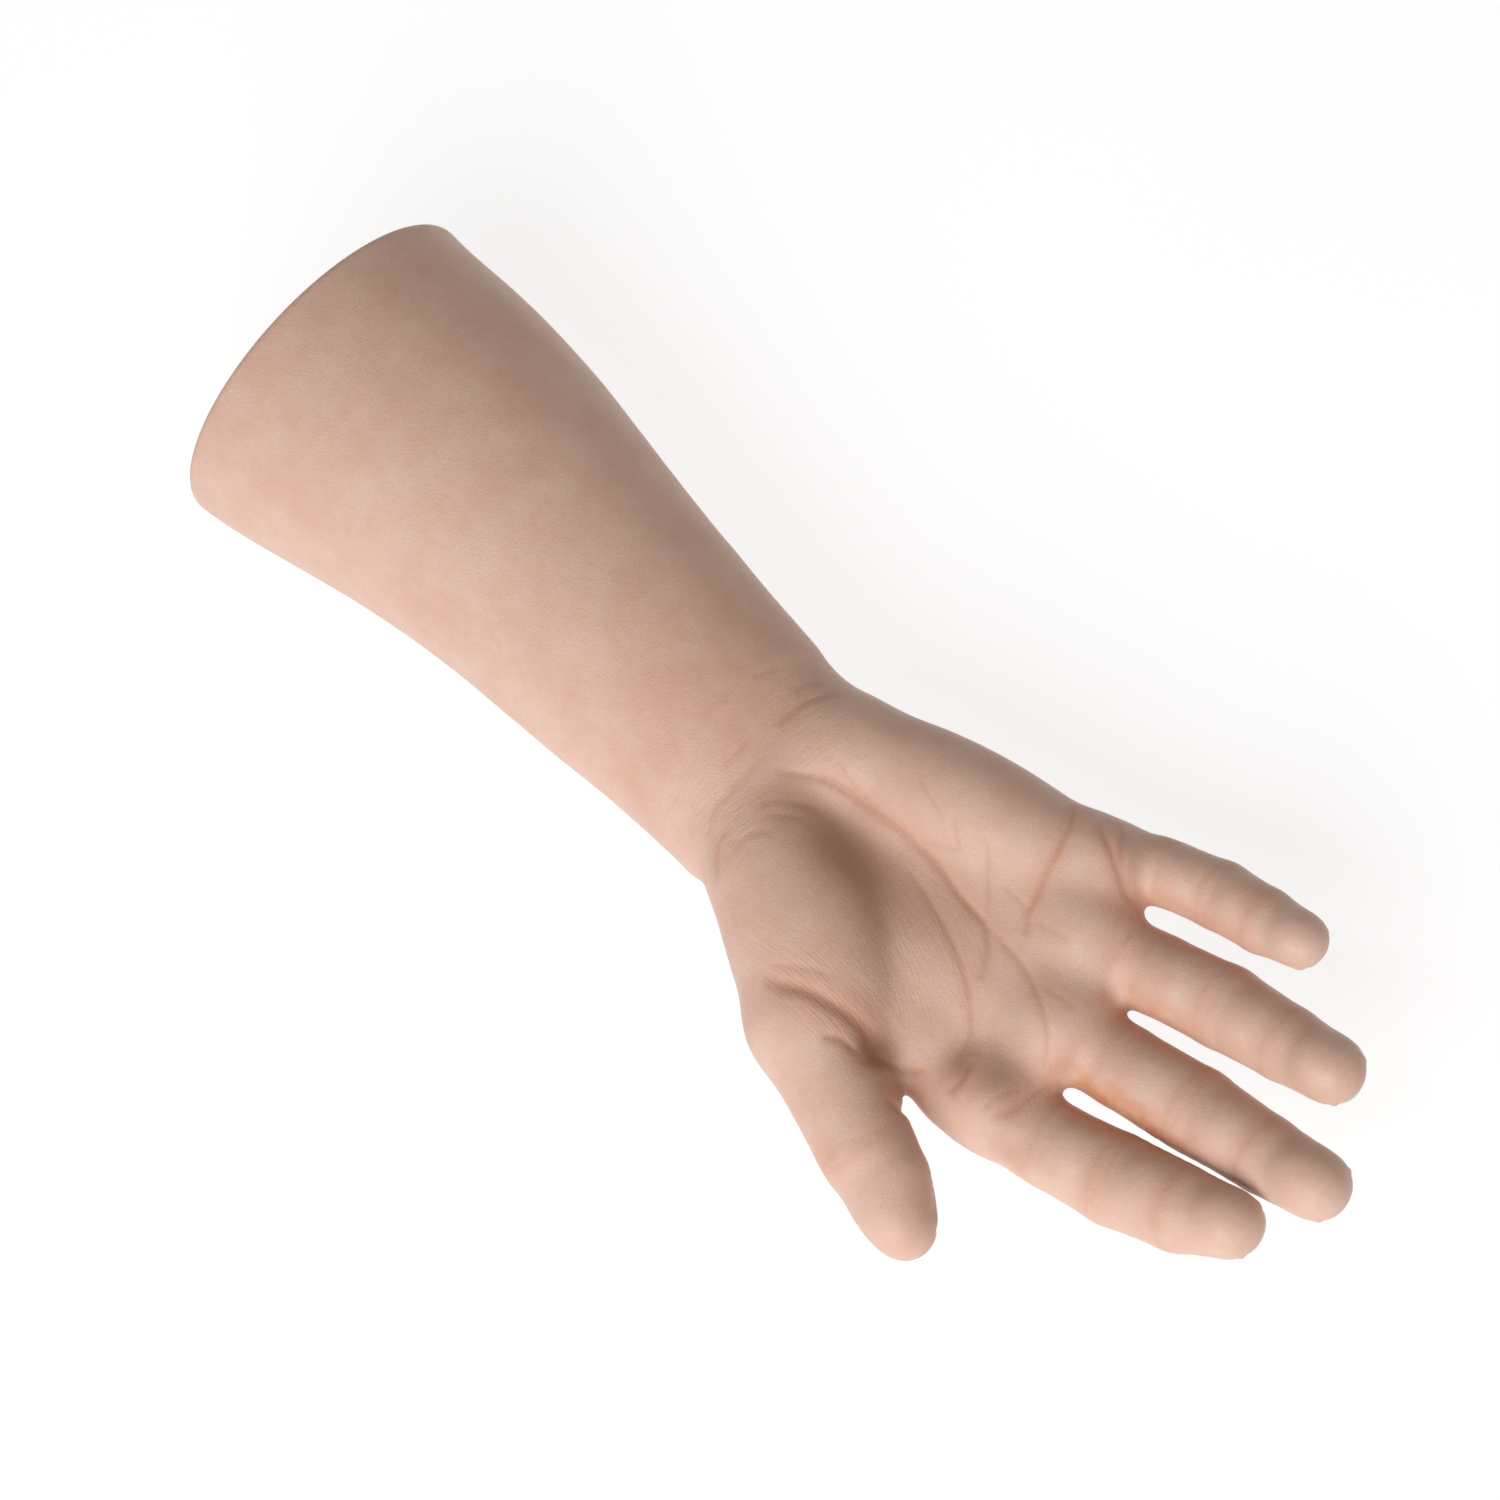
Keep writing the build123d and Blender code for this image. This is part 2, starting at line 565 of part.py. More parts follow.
# ================= Fingers =================
for name, finger in FINGERS.items():
    knuckle = KNUCKLES[name]
    first, second, last = finger.lengths
    middle_joint = further(knuckle, first, MIDDLE_BEND)
    end_joint = further(middle_joint, second, END_BEND)
    root_radius, middle_radius, end_radius, tip_radius = finger.radii

    proximal_link = link(knuckle, first, bored=True)
    publish(proximal_link, f"{name}_proximal_link")
    tip_link = link(middle_joint, second, bored=False)
    publish(tip_link, f"{name}_tip_link")
    joint_pin = pin(middle_joint, PIN_RADIUS, BAR_HALF_WIDTH + FORK_GAP + CHEEK_WIDTH)
    publish(joint_pin, f"{name}_joint_pin")

    with BuildPart() as proximal_sleeve:
        add(tapered(knuckle, 0, first, root_radius, middle_radius))
        add(relief(knuckle, 1, KNUCKLE_TILT), mode=Mode.SUBTRACT)
        add(relief(middle_joint, -1, JOINT_TILT), mode=Mode.SUBTRACT)
        add(rod(knuckle, BARREL_RADIUS, BARREL_HALF), mode=Mode.SUBTRACT)
        add(rod(middle_joint, BARREL_RADIUS, BARREL_HALF), mode=Mode.SUBTRACT)
        add(proximal_link, mode=Mode.SUBTRACT)
    publish(proximal_sleeve.part, f"{name}_proximal_sleeve")

    nail_radius = 0.5 * (end_radius + tip_radius) + NAIL_RISE
    nail = nail_plate(end_joint, last, nail_radius, finger.nail)
    publish(nail, f"{name}_nail")

    with BuildPart() as tip_sleeve:
        add(tapered(middle_joint, 0, second, middle_radius, end_radius))
        add(fingertip(end_joint, last, end_radius, tip_radius))
        add(relief(middle_joint, 1, JOINT_TILT), mode=Mode.SUBTRACT)
        add(rod(middle_joint, BARREL_RADIUS, BARREL_HALF), mode=Mode.SUBTRACT)
        add(tip_link, mode=Mode.SUBTRACT)
        add(nail, mode=Mode.SUBTRACT)
    publish(tip_sleeve.part, f"{name}_tip_sleeve")

# ================= Thumb =================
with BuildPart() as thumb_proximal_link:
    add(swing_rod(SWING_BARREL_RADIUS, SWING_BARREL))
    with BuildSketch(THUMB_JOINT):
        with Locations((-THUMB_BAR_LENGTH / 2, 0)):
            Rectangle(THUMB_BAR_LENGTH, 2 * BAR_HALF_HEIGHT)
        Circle(BAR_HALF_HEIGHT)
    extrude(amount=BAR_HALF_WIDTH, both=True)
    add(rod(THUMB_JOINT, PIN_RADIUS, BARREL_HALF), mode=Mode.SUBTRACT)
    pin_hole = swing_rod(SWING_PIN_RADIUS + RUNNING_GAP, (lug_end, SWING_BARREL[1] + FACE_GAP))
    add(pin_hole, mode=Mode.SUBTRACT)
publish(thumb_proximal_link.part, "thumb_proximal_link")

thumb_pin = pin(THUMB_JOINT, PIN_RADIUS, BAR_HALF_WIDTH + FORK_GAP + CHEEK_WIDTH)
publish(thumb_pin, "thumb_joint_pin")
thumb_tip_link = link(THUMB_JOINT, THUMB_TIP_LENGTH / 2, bored=False)
publish(thumb_tip_link, "thumb_tip_link")

with BuildPart() as thumb_proximal_sleeve:
    add(tapered(THUMB_AXIS_PLANE, THUMB_SLEEVE_START, THUMB_LENGTH, THUMB_SLEEVE_RADIUS, THUMB_RADII[1]))
    add(relief(SWING, 1, SWING_TILT), mode=Mode.SUBTRACT)
    add(relief(THUMB_JOINT, -1, JOINT_TILT), mode=Mode.SUBTRACT)
    add(SWING_SPACE, mode=Mode.SUBTRACT)
    add(rod(THUMB_JOINT, BARREL_RADIUS, BARREL_HALF), mode=Mode.SUBTRACT)
    add(thumb_proximal_link.part, mode=Mode.SUBTRACT)
publish(thumb_proximal_sleeve.part, "thumb_proximal_sleeve")

thumb_nail = nail_plate(THUMB_JOINT, THUMB_TIP_LENGTH, 0.5 * (THUMB_RADII[2] + THUMB_RADII[3]), THUMB_NAIL)
publish(thumb_nail, "thumb_nail")

with BuildPart() as thumb_tip_sleeve:
    add(fingertip(THUMB_JOINT, THUMB_TIP_LENGTH, THUMB_RADII[2], THUMB_RADII[3]))
    add(relief(THUMB_JOINT, 1, JOINT_TILT), mode=Mode.SUBTRACT)
    add(rod(THUMB_JOINT, BARREL_RADIUS, BARREL_HALF), mode=Mode.SUBTRACT)
    add(thumb_tip_link, mode=Mode.SUBTRACT)
    add(thumb_nail, mode=Mode.SUBTRACT)
publish(thumb_tip_sleeve.part, "thumb_tip_sleeve")
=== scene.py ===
import json
import math

import bpy
import numpy as np
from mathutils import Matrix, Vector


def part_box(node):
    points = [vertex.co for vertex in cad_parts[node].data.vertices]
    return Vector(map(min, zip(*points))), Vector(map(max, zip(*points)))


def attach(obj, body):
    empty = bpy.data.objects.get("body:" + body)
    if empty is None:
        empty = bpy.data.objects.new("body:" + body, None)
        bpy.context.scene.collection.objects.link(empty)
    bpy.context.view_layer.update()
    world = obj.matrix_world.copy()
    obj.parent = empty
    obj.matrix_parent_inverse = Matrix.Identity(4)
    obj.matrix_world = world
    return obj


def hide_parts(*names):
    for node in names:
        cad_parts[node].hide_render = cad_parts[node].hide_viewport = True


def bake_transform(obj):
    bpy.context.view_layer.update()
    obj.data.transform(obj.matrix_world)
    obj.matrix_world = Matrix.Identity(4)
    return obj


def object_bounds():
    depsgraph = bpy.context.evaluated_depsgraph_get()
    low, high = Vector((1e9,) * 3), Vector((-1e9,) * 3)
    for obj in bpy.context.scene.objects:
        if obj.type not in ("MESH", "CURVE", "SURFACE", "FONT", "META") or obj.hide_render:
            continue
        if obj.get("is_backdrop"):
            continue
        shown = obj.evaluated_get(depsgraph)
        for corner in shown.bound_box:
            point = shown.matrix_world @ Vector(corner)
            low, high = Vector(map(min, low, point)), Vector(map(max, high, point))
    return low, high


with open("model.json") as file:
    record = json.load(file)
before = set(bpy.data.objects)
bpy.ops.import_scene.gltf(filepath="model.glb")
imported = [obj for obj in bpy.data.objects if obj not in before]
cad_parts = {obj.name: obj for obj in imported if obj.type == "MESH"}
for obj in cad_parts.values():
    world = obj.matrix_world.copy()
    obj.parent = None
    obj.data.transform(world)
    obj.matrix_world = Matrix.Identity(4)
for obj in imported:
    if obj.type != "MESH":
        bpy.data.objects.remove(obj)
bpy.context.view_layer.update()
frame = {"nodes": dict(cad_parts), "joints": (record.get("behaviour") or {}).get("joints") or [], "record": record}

import openvdb
from mathutils import Matrix, Vector

# A right hand prosthesis with a forearm socket. The silicone skin is modelled as one distance field in
# millimetres, meshed once, then cut into pieces for the forearm, the palm, the thumb and the fingers.
MM = 0.001
STEP = 0.75     # spacing of the field's samples
FAR = 9.0                              # field value away from the skin
SKIN_WALL = 3.0
LIP_DEPTH = 20.0                       # how far the skin's brim is hollow
DIGIT_GAP = 1.9                        # least space between neighbouring fingers

joints = {j["name"]: j for j in frame["joints"]}
UP = np.array((0.0, 0.0, 1.0))


def unit(v):
    return np.asarray(v, float) / np.linalg.norm(v)


def joint_place(name):
    return np.array(joints[name]["pos_m"]) / MM


def joint_axis(name):
    return unit(joints[name]["axis"])


# ---- The hand's own frame: its origin is the wrist's flexion axis, X to the fingers, Y to the little finger ----
WRIST = joint_place("wrist_flexion")
HAND_X = -joint_axis("thumb_swing")
HAND_Y = np.cross(UP, HAND_X)


def hand(x, y, z=0.0):
    return WRIST + HAND_X * x + HAND_Y * y + UP * z


def in_hand(p):
    """Coordinates in the hand's frame of an array of points."""
    return (p - WRIST) @ np.array((HAND_X, HAND_Y, UP)).T


def turned(v, axis, degrees):
    a = math.radians(degrees)
    return v * math.cos(a) + np.cross(axis, v) * math.sin(a) + axis * (v @ axis) * (1 - math.cos(a))


# ---- Shapes of the field: each is (distance function, low corner, high corner) ----
def along(p, origin, axis):
    return sum((p[i] - np.float32(origin[i])) * np.float32(axis[i]) for i in range(3))


def smooth_min(a, b, width):
    h = np.maximum(width - np.abs(a - b), 0) / width
    return np.minimum(a, b) - h * h * (width / 4)


def smooth_max(a, b, width):
    return -smooth_min(-a, -b, width)


def limb(a, b, radius_a, radius_b, pad=UP, flat=1.0):
    """A rounded bar from a to b, flattened along pad."""
    a, b = np.asarray(a, float), np.asarray(b, float)
    length = np.linalg.norm(b - a)
    u = (b - a) / length
    side = unit(np.cross(pad, u))
    normal = np.cross(u, side)

    def distance(p):
        h = along(p, a, u)
        t = np.clip(h / length, 0, 1)
        over = h - t * length
        across = along(p, a, normal) / flat
        return np.sqrt(along(p, a, side) ** 2 + across ** 2 + over ** 2) - (radius_a + (radius_b - radius_a) * t)

    reach = max(radius_a, radius_b) + FAR
    return distance, np.minimum(a, b) - reach, np.maximum(a, b) + reach


def mound(centre, radii, toward, pad=UP):
    """An ellipsoid whose first radius lies along toward and whose third lies near pad."""
    x = unit(toward)
    y = unit(np.cross(pad, x))
    axes = (x, y, np.cross(x, y))

    def distance(p):
        parts = [along(p, centre, axis) for axis in axes]
        k0 = np.sqrt(sum((q / r) ** 2 for q, r in zip(parts, radii)))
        k1 = np.sqrt(sum((q / r ** 2) ** 2 for q, r in zip(parts, radii))) + 1e-6
        return k0 * (k0 - 1) / k1

    return distance, centre - max(radii) - FAR, centre + max(radii) + FAR


# ---- Forearm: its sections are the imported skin's ----
def section_rows(node, places):
    """X, centre in Y, half width in Y and half depth in Z of a node, where planes across X cut it."""
    mesh = frame["nodes"][node].data
    co = np.array([v.co for v in mesh.vertices]) / MM
    edges = np.array([e.vertices for e in mesh.edges])
    a, b = co[edges[:, 0]], co[edges[:, 1]]
    rows = []
    for x in places:
        cut = (a[:, 0] - x) * (b[:, 0] - x) < 0
        t = (x - a[cut, 0]) / (b[cut, 0] - a[cut, 0])
        points = a[cut] + t[:, None] * (b[cut] - a[cut])
        low, high = points.min(0), points.max(0)
        rows.append((x, (low[1] + high[1]) / 2, (high[1] - low[1]) / 2, (high[2] - low[2]) / 2))
    return rows


FOREARM_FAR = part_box("forearm_skin")[1].x / MM
CARPUS = ((WRIST[0], 1.2, 28.6, 19.0), (WRIST[0] + 14, 2.6, 26.0, 15.0))
# Fullness of the skin over those sections: X, radial side, ulnar side
FULLNESS = ((0, 0, 1.1), (25, 0.2, 1.0), (50, 0.7, 0.2), (75, 1.3, 0.3), (104, 1.8, 1.1), (122, 1.5, 1.2),
            (140, 0.6, 0.1), (155, 0.8, -0.7), (166, 2.6, -0.9), (173, 3.4, -1.8), (186, 0.5, 0))
sections = np.array(section_rows("forearm_skin", np.linspace(1, FOREARM_FAR - 1, 32)) + list(CARPUS))
radial, ulnar = (np.interp(sections[:, 0], [row[0] for row in FULLNESS], [row[i] for row in FULLNESS]) for i in (1, 2))
sections[:, 1] += (ulnar - radial) / 2
sections[:, 2] += (ulnar + radial) / 2


def forearm(p):
    x = np.clip(p[0], sections[0, 0], sections[-1, 0])
    centre, half_y, half_z = (np.interp(x, sections[:, 0], sections[:, i]).astype(np.float32) for i in (1, 2, 3))
    y, z = p[1] - centre, p[2]
    k0 = np.sqrt((y / half_y) ** 2 + (z / half_z) ** 2)
    k1 = np.sqrt((y / half_y ** 2) ** 2 + (z / half_z ** 2) ** 2) + 1e-6
    tube = k0 * (k0 - 1) / k1
    return smooth_max(tube, p[0] - sections[-1, 0], 8)


def brim(p, tube):
    """The tube cut square at the brim, hollow for a short way, with a rounded lip."""
    inner = smooth_max(tube + SKIN_WALL - 0.2, p[0] - LIP_DEPTH, 2)
    return smooth_max(smooth_max(tube, 0.3 - p[0], 2.2), -inner, 1.2)


# ---- Palm ----
METACARPALS = (
    (hand(2, -12, -2), hand(90, -33.3, -1), 13.0, 10.6),
    (hand(2, -4, -2.5), hand(93, -9.3, -1.5), 13.0, 10.4),
    (hand(2, 5, -2.5), hand(88, 13.2, -1), 13.2, 9.4),
    (hand(4, 14, -2), hand(78, 29.6, 0), 13.8, 8.0),
)
WEBS = (
    (hand(93, -31, 4), hand(95, -11, 4), 7.5),
    (hand(92, -8, 3.5), hand(90, 13, 3.5), 7.0),
    (hand(83, 16, 3.5), hand(77, 29, 3.5), 6.5),
    (hand(56, -34.8, 2), hand(66, -35.6, 2), 6.8),
    (hand(83, -36.4, 0), hand(97, -34.4, 0), 7.0),
)
MOUNDS = (
    (hand(33, -25, 8), (33, 17, 15.5), hand(58, -44) - hand(8, -12)),
    (hand(43, 21.8, 4.5), (41, 14.5, 13), hand(38, 4.4) - hand(0, 0)),
    (hand(72, 0, -1), (32, 31, 12), HAND_X),
    (hand(8, -13, 4), (14, 14, 14), HAND_X),
    (hand(9, 15, 3), (14, 13, 13), HAND_X),
    (hand(95, -32.2, 3.2), (11, 8.9, 9.6), HAND_X),
    (hand(96, -9.2, 3), (10, 10.3, 9.4), HAND_X),
    (hand(88, 13.6, 3), (9.5, 8.9, 9.2), HAND_X),
    (hand(81, 30.4, 3), (10, 7.7, 8.8), HAND_X),
)
KNUCKLE_BUMPS = (hand(82, -32, -8.5), hand(86, -8.5, -9.5), hand(82, 12.5, -9), hand(73, 30, -8))


def palm_shapes():
    made = [(limb(a, b, ra, rb, flat=0.88), 10) for a, b, ra, rb in METACARPALS]
    made += [(limb(a, b, r, r, flat=0.85), 9) for a, b, r in WEBS]
    made += [(mound(*m), 8) for m in MOUNDS]
    made += [(mound(c, (10, 7.5, 6), HAND_X), 6) for c in KNUCKLE_BUMPS]
    return made


# ---- Fingers: joints from the record; drift moves the flesh to the little finger's side, and the last pair is painted
# warm shade and bounce light on the flanks on the thumb's side and the other ----
FINGERS = {
    "index": {"bones": (19.0, 23.2), "radii": (11.0, 11.3, 10.6, 8.9), "drift": (-0.2, -1.1, -0.7, 1.6),
              "web": 1.5, "bend": 12.0, "nail": (11.5, 11.5), "flank_bounce_shade": (0.0, 0.6)},
    "middle": {"bones": (21.7, 26.0), "radii": (10.7, 10.6, 9.5, 8.9), "drift": (0.2, 0.5, 0.0, 0.2),
               "web": 1.5, "bend": 14.0, "nail": (12.0, 12.0), "flank_bounce_shade": (1.7, 0.4)},
    "ring": {"bones": (19.7, 23.5), "radii": (10.4, 10.3, 9.2, 8.7), "drift": (1.3, 2.1, 1.1, 0.0),
             "web": 4.8, "bend": 14.0, "nail": (11.5, 11.0), "flank_bounce_shade": (0.7, 0.3)},
    "little": {"bones": (13.8, 19.2), "radii": (8.5, 8.5, 8.1, 7.2), "drift": (2.9, 3.2, 1.6, -0.2),
               "web": 3.5, "bend": 10.6, "nail": (9.0, 9.5), "flank_bounce_shade": (0.6, 0.0)},
}
MIDDLE_BEND = 10.0
END_BEND = 7.0
JOINT_ZONE = 6.0        # half length of skin that bends round a middle joint
FINGER_BLEND = 3.4


def finger_frame(name):
    """Joint points, directions, pad normal and radii of one finger."""
    spec = FINGERS[name]
    axis = joint_axis(f"{name}_knuckle")
    knuckle, middle = joint_place(f"{name}_knuckle"), joint_place(f"{name}_middle_joint")
    u1 = unit(middle - knuckle)
    u2 = turned(u1, axis, MIDDLE_BEND)
    u3 = turned(u2, axis, END_BEND)
    end = middle + u2 * spec["bones"][0]
    tip = end + u3 * spec["bones"][1]
    points = [p - axis * drift for p, drift in zip((knuckle, middle, end, tip), spec["drift"])]
    ways = [unit(b - a) for a, b in zip(points, points[1:])]
    return {"axis": axis, "points": points, "ways": ways, "pads": [unit(np.cross(axis, way)) for way in ways],
            "radii": spec["radii"], "nail": spec["nail"], "flank_bounce_shade": spec["flank_bounce_shade"]}


def digit_shapes(points, ways, pads, radii, tip_flat=0.86):
    """Shapes of three bones with their pads, smoothly joined, for a finger."""
    k, m, e, t = points
    r0, r1, r2, r3 = radii
    made = [
        limb(k - ways[0] * 10, k + ways[0] * 4, r0 * 0.84, r0 * 0.95, pads[0], 0.96),
        limb(k, m, r0 * 0.95, r1, pads[0], 0.95),
        limb(m, e, r1, r2, pads[1], 0.93),
        limb(e, t - ways[2] * r3 * 0.97, r2, r3 * 0.95, pads[2], tip_flat),
    ]
    for a, b, way, pad, r in ((k, m, ways[0], pads[0], (r0 + r1) / 2), (m, e, ways[1], pads[1], (r1 + r2) / 2)):
        span = np.linalg.norm(b - a)
        made.append(mound((a + b) / 2 + pad * r * 0.24, (span * 0.5, r * 0.86, r * 0.77), way, pad))
    span = np.linalg.norm(t - e)
    made.append(mound(e + ways[2] * span * 0.56 + pads[2] * r3 * 0.16, (span * 0.42, r3 * 0.93, r3 * 0.86), ways[2], pads[2]))
    return made


# ---- Thumb ----
THUMB_ROOT = hand(16, -22, 5)
THUMB_MIDDLE = hand(45, -43.5, 8.5)
THUMB_HINGE = joint_place("thumb_end_joint")
THUMB_AXIS = joint_axis("thumb_end_joint")
THUMB_WAY = unit(HAND_X * math.cos(math.radians(23.0)) - HAND_Y * math.sin(math.radians(23.0)) + UP * 0.026)
THUMB_PAD = unit(np.cross(THUMB_AXIS, THUMB_WAY))
THUMB_WAY = np.cross(THUMB_PAD, THUMB_AXIS)
THUMB_TIP = THUMB_HINGE + THUMB_WAY * 28.4
THUMB_NAIL = (14.0, 13.0)
NAIL_SETBACK = 3.6      # from the fingertip's end to the nail's free edge
SWING_START, SWING_END = -47.8, -55.0
THUMB_SPLIT_WAY = np.array((0.888, -0.46))
THUMB_SPLIT, THUMB_BEND_END = 91.5, 103.5
THUMB_SIDE = -46.9      # line between the free end of the thumb and the index finger's root
THUMB_WEB = 88.8        # where the web between them ends


def thumb_shapes():
    """The two bones that merge with the palm, and the free tip."""
    base = [
        (limb(THUMB_ROOT, THUMB_MIDDLE, 14.2, 13.8), 8),
        (limb(THUMB_MIDDLE, THUMB_HINGE, 14.0, 11.9, THUMB_PAD, 0.98), 6),
    ]
    span = np.linalg.norm(THUMB_TIP - THUMB_HINGE)
    swell = THUMB_HINGE + THUMB_WAY * 9 - THUMB_AXIS * 0.9
    tip = [
        limb(THUMB_HINGE - THUMB_WAY * 2, swell, 11.4, 10.8, THUMB_PAD, 0.9),
        limb(swell, THUMB_TIP - THUMB_WAY * 7.6, 10.8, 7.7, THUMB_PAD, 0.84),
        mound(THUMB_HINGE + THUMB_WAY * span * 0.52 + THUMB_PAD * 1.6, (span * 0.45, 9.0, 9.0), THUMB_WAY, THUMB_PAD),
    ]
    return base, tip


# ---- The field ----
LOW = np.array((-3.0, -92.0, -45.0))
HIGH = np.array((362.0, 74.0, 42.0))
axes = [np.arange(LOW[i], HIGH[i], STEP, dtype=np.float32) for i in range(3)]


def window(low, high):
    cuts = []
    for i in range(3):
        a = int(np.clip((low[i] - LOW[i]) / STEP, 0, len(axes[i]) - 2))
        b = int(np.clip((high[i] - LOW[i]) / STEP + 1, a + 2, len(axes[i])))
        cuts.append(slice(a, b))
    points = (axes[0][cuts[0], None, None], axes[1][None, cuts[1], None], axes[2][None, None, cuts[2]])
    return tuple(cuts), points


def merge(field, shape, width):
    distance, low, high = shape
    cut, points = window(low, high)
    field[cut] = smooth_min(field[cut], distance(points), width)


def merge_digit(total, palm, shapes, width, join):
    """Adds a digit: its own shapes join with width join, it joins the palm with width, and nothing else."""
    low = np.min([s[1] for s in shapes], 0)
    high = np.max([s[2] for s in shapes], 0)
    cut, points = window(low, high)
    own = np.full(palm[cut].shape, 4 * FAR, np.float32)
    for distance, _, _ in shapes:
        own = smooth_min(own, distance(points), join)
    total[cut] = np.minimum(total[cut], smooth_min(palm[cut], own, width))


def part_digits(total, palm, one, other):
    """Keeps a slot between two digits, so that each has its own flank when it moves alone."""
    low = np.maximum(np.min([s[1] for s in one], 0), np.min([s[1] for s in other], 0))
    high = np.minimum(np.max([s[2] for s in one], 0), np.max([s[2] for s in other], 0))
    cut, points = window(low, high)
    near = [np.min([distance(points) for distance, _, _ in shapes], 0) for shapes in (one, other)]
    slot = DIGIT_GAP / 2 - np.abs(near[0] - near[1]) / 2
    total[cut] = np.maximum(total[cut], np.minimum(slot, palm[cut] - DIGIT_GAP))


def part_thumb(total):
    """Keeps a slot between the free end of the thumb and the root of the index finger."""
    centre, reach = hand(86, THUMB_SIDE, 4), np.array((16.0, 16.0, 24.0))
    cut, points = window(centre - reach, centre + reach)
    x, y = (sum((p - w) * d for p, w, d in zip(points, WRIST, way)) for way in (HAND_X, HAND_Y))
    advance = x * THUMB_SPLIT_WAY[0] + y * THUMB_SPLIT_WAY[1]
    slot = np.minimum(DIGIT_GAP / 2 - np.abs(y - THUMB_SIDE), advance - THUMB_WEB)
    total[cut] = np.maximum(total[cut], slot)


def soften(field, passes):
    for _ in range(passes):
        for i in range(3):
            f = np.moveaxis(field, i, 0)
            f[1:-1] = 0.25 * (f[:-2] + f[2:]) + 0.5 * f[1:-1]


def build_field(fingers):
    palm = np.full([len(a) for a in axes], FAR, np.float32)
    cut, points = window(LOW, (sections[-1, 0] + FAR, HIGH[1], HIGH[2]))
    palm[cut] = np.minimum(forearm(points), FAR)
    for shape, width in palm_shapes():
        merge(palm, shape, width)
    base, tip = thumb_shapes()
    for shape, width in base:
        merge(palm, shape, width)
    total = palm.copy()
    digits = [digit_shapes(f["points"], f["ways"], f["pads"], f["radii"]) for f in fingers.values()]
    for shapes in digits:
        merge_digit(total, palm, shapes, FINGER_BLEND, 1.2)
    merge_digit(total, palm, tip, 2.5, 3)
    for one, other in zip(digits, digits[1:]):
        part_digits(total, palm, one, other)
    part_thumb(total)
    np.clip(total, -FAR, FAR, out=total)
    soften(total, 2)
    cut, points = window(LOW, (LIP_DEPTH + 6, HIGH[1], HIGH[2]))
    total[cut] = brim(points, total[cut])
    return total


def sample(field, p):
    """The field's value at an array of points, between samples."""
    g = np.clip((p - LOW) / STEP, 0, np.array(field.shape) - 1.001)
    i = g.astype(int)
    t = g - i
    value = 0
    for dx in (0, 1):
        for dy in (0, 1):
            for dz in (0, 1):
                w = (np.abs(1 - dx - t[:, 0]) * np.abs(1 - dy - t[:, 1]) * np.abs(1 - dz - t[:, 2]))
                value = value + w * field[i[:, 0] + dx, i[:, 1] + dy, i[:, 2] + dz]
    return value


def slope(field, p):
    d = STEP * 0.7
    g = np.stack([sample(field, p + d * e) - sample(field, p - d * e) for e in np.eye(3)], 1)
    return g / (2 * d)


def mesh_field(field):
    grid = openvdb.FloatGrid(FAR)
    grid.copyFromArray(np.ascontiguousarray(field))
    points, quads = grid.convertToQuads()
    points, quads = points.astype(float) * STEP + LOW, quads.astype(int)
    for _ in range(2):
        g = slope(field, points)
        points -= (sample(field, points) / np.maximum((g ** 2).sum(1), 0.2))[:, None] * g
    a, b, c = points[quads[:, 0]], points[quads[:, 1]], points[quads[:, 2]]
    if ((a * np.cross(b, c)).sum(1)).sum() < 0:
        quads = quads[:, ::-1]
    return points, quads


def vertex_normals(points, quads):
    face = np.cross(points[quads[:, 2]] - points[quads[:, 0]], points[quads[:, 3]] - points[quads[:, 1]])
    total = np.zeros_like(points)
    for i in range(4):
        for k in range(3):
            total[:, k] += np.bincount(quads[:, i], face[:, k], len(points))
    return total / np.maximum(np.linalg.norm(total, axis=1), 1e-9)[:, None]


# ---- Relief and colour masks ----
def ramp(x, a, b):
    t = np.clip((x - a) / (b - a), 0, 1)
    return t * t * (3 - 2 * t)


def bell(x, width):
    return np.exp(-(x / width) ** 2)


def flowing(points, steps=7):
    """A smooth line through points."""
    p = np.array(points, float)
    p = np.vstack((2 * p[0] - p[1], p, 2 * p[-1] - p[-2]))
    t = np.linspace(0, 1, steps, endpoint=False)[:, None]
    out = [0.5 * (2 * b + (c - a) * t + (2 * a - 5 * b + 4 * c - d) * t ** 2 + (3 * b - a - 3 * c + d) * t ** 3)
           for a, b, c, d in zip(p, p[1:], p[2:], p[3:])]
    return np.vstack(out + [p[-2:-1]])


def line_place(xy, line):
    """Distance to a line and share of its length, for an array of points in the hand's plane."""
    best, share = np.full(len(xy), 1e9), np.zeros(len(xy))
    lengths = np.linalg.norm(np.diff(line, axis=0), axis=1)
    gone = np.concatenate(([0], np.cumsum(lengths)))
    for a, b, done, length in zip(line, line[1:], gone, lengths):
        t = np.clip((xy - a) @ (b - a) / length ** 2, 0, 1)
        d = np.linalg.norm(xy - a - t[:, None] * (b - a), axis=1)
        nearer = d < best
        best[nearer] = d[nearer]
        share[nearer] = (done + t[nearer] * length) / gone[-1]
    return best, share


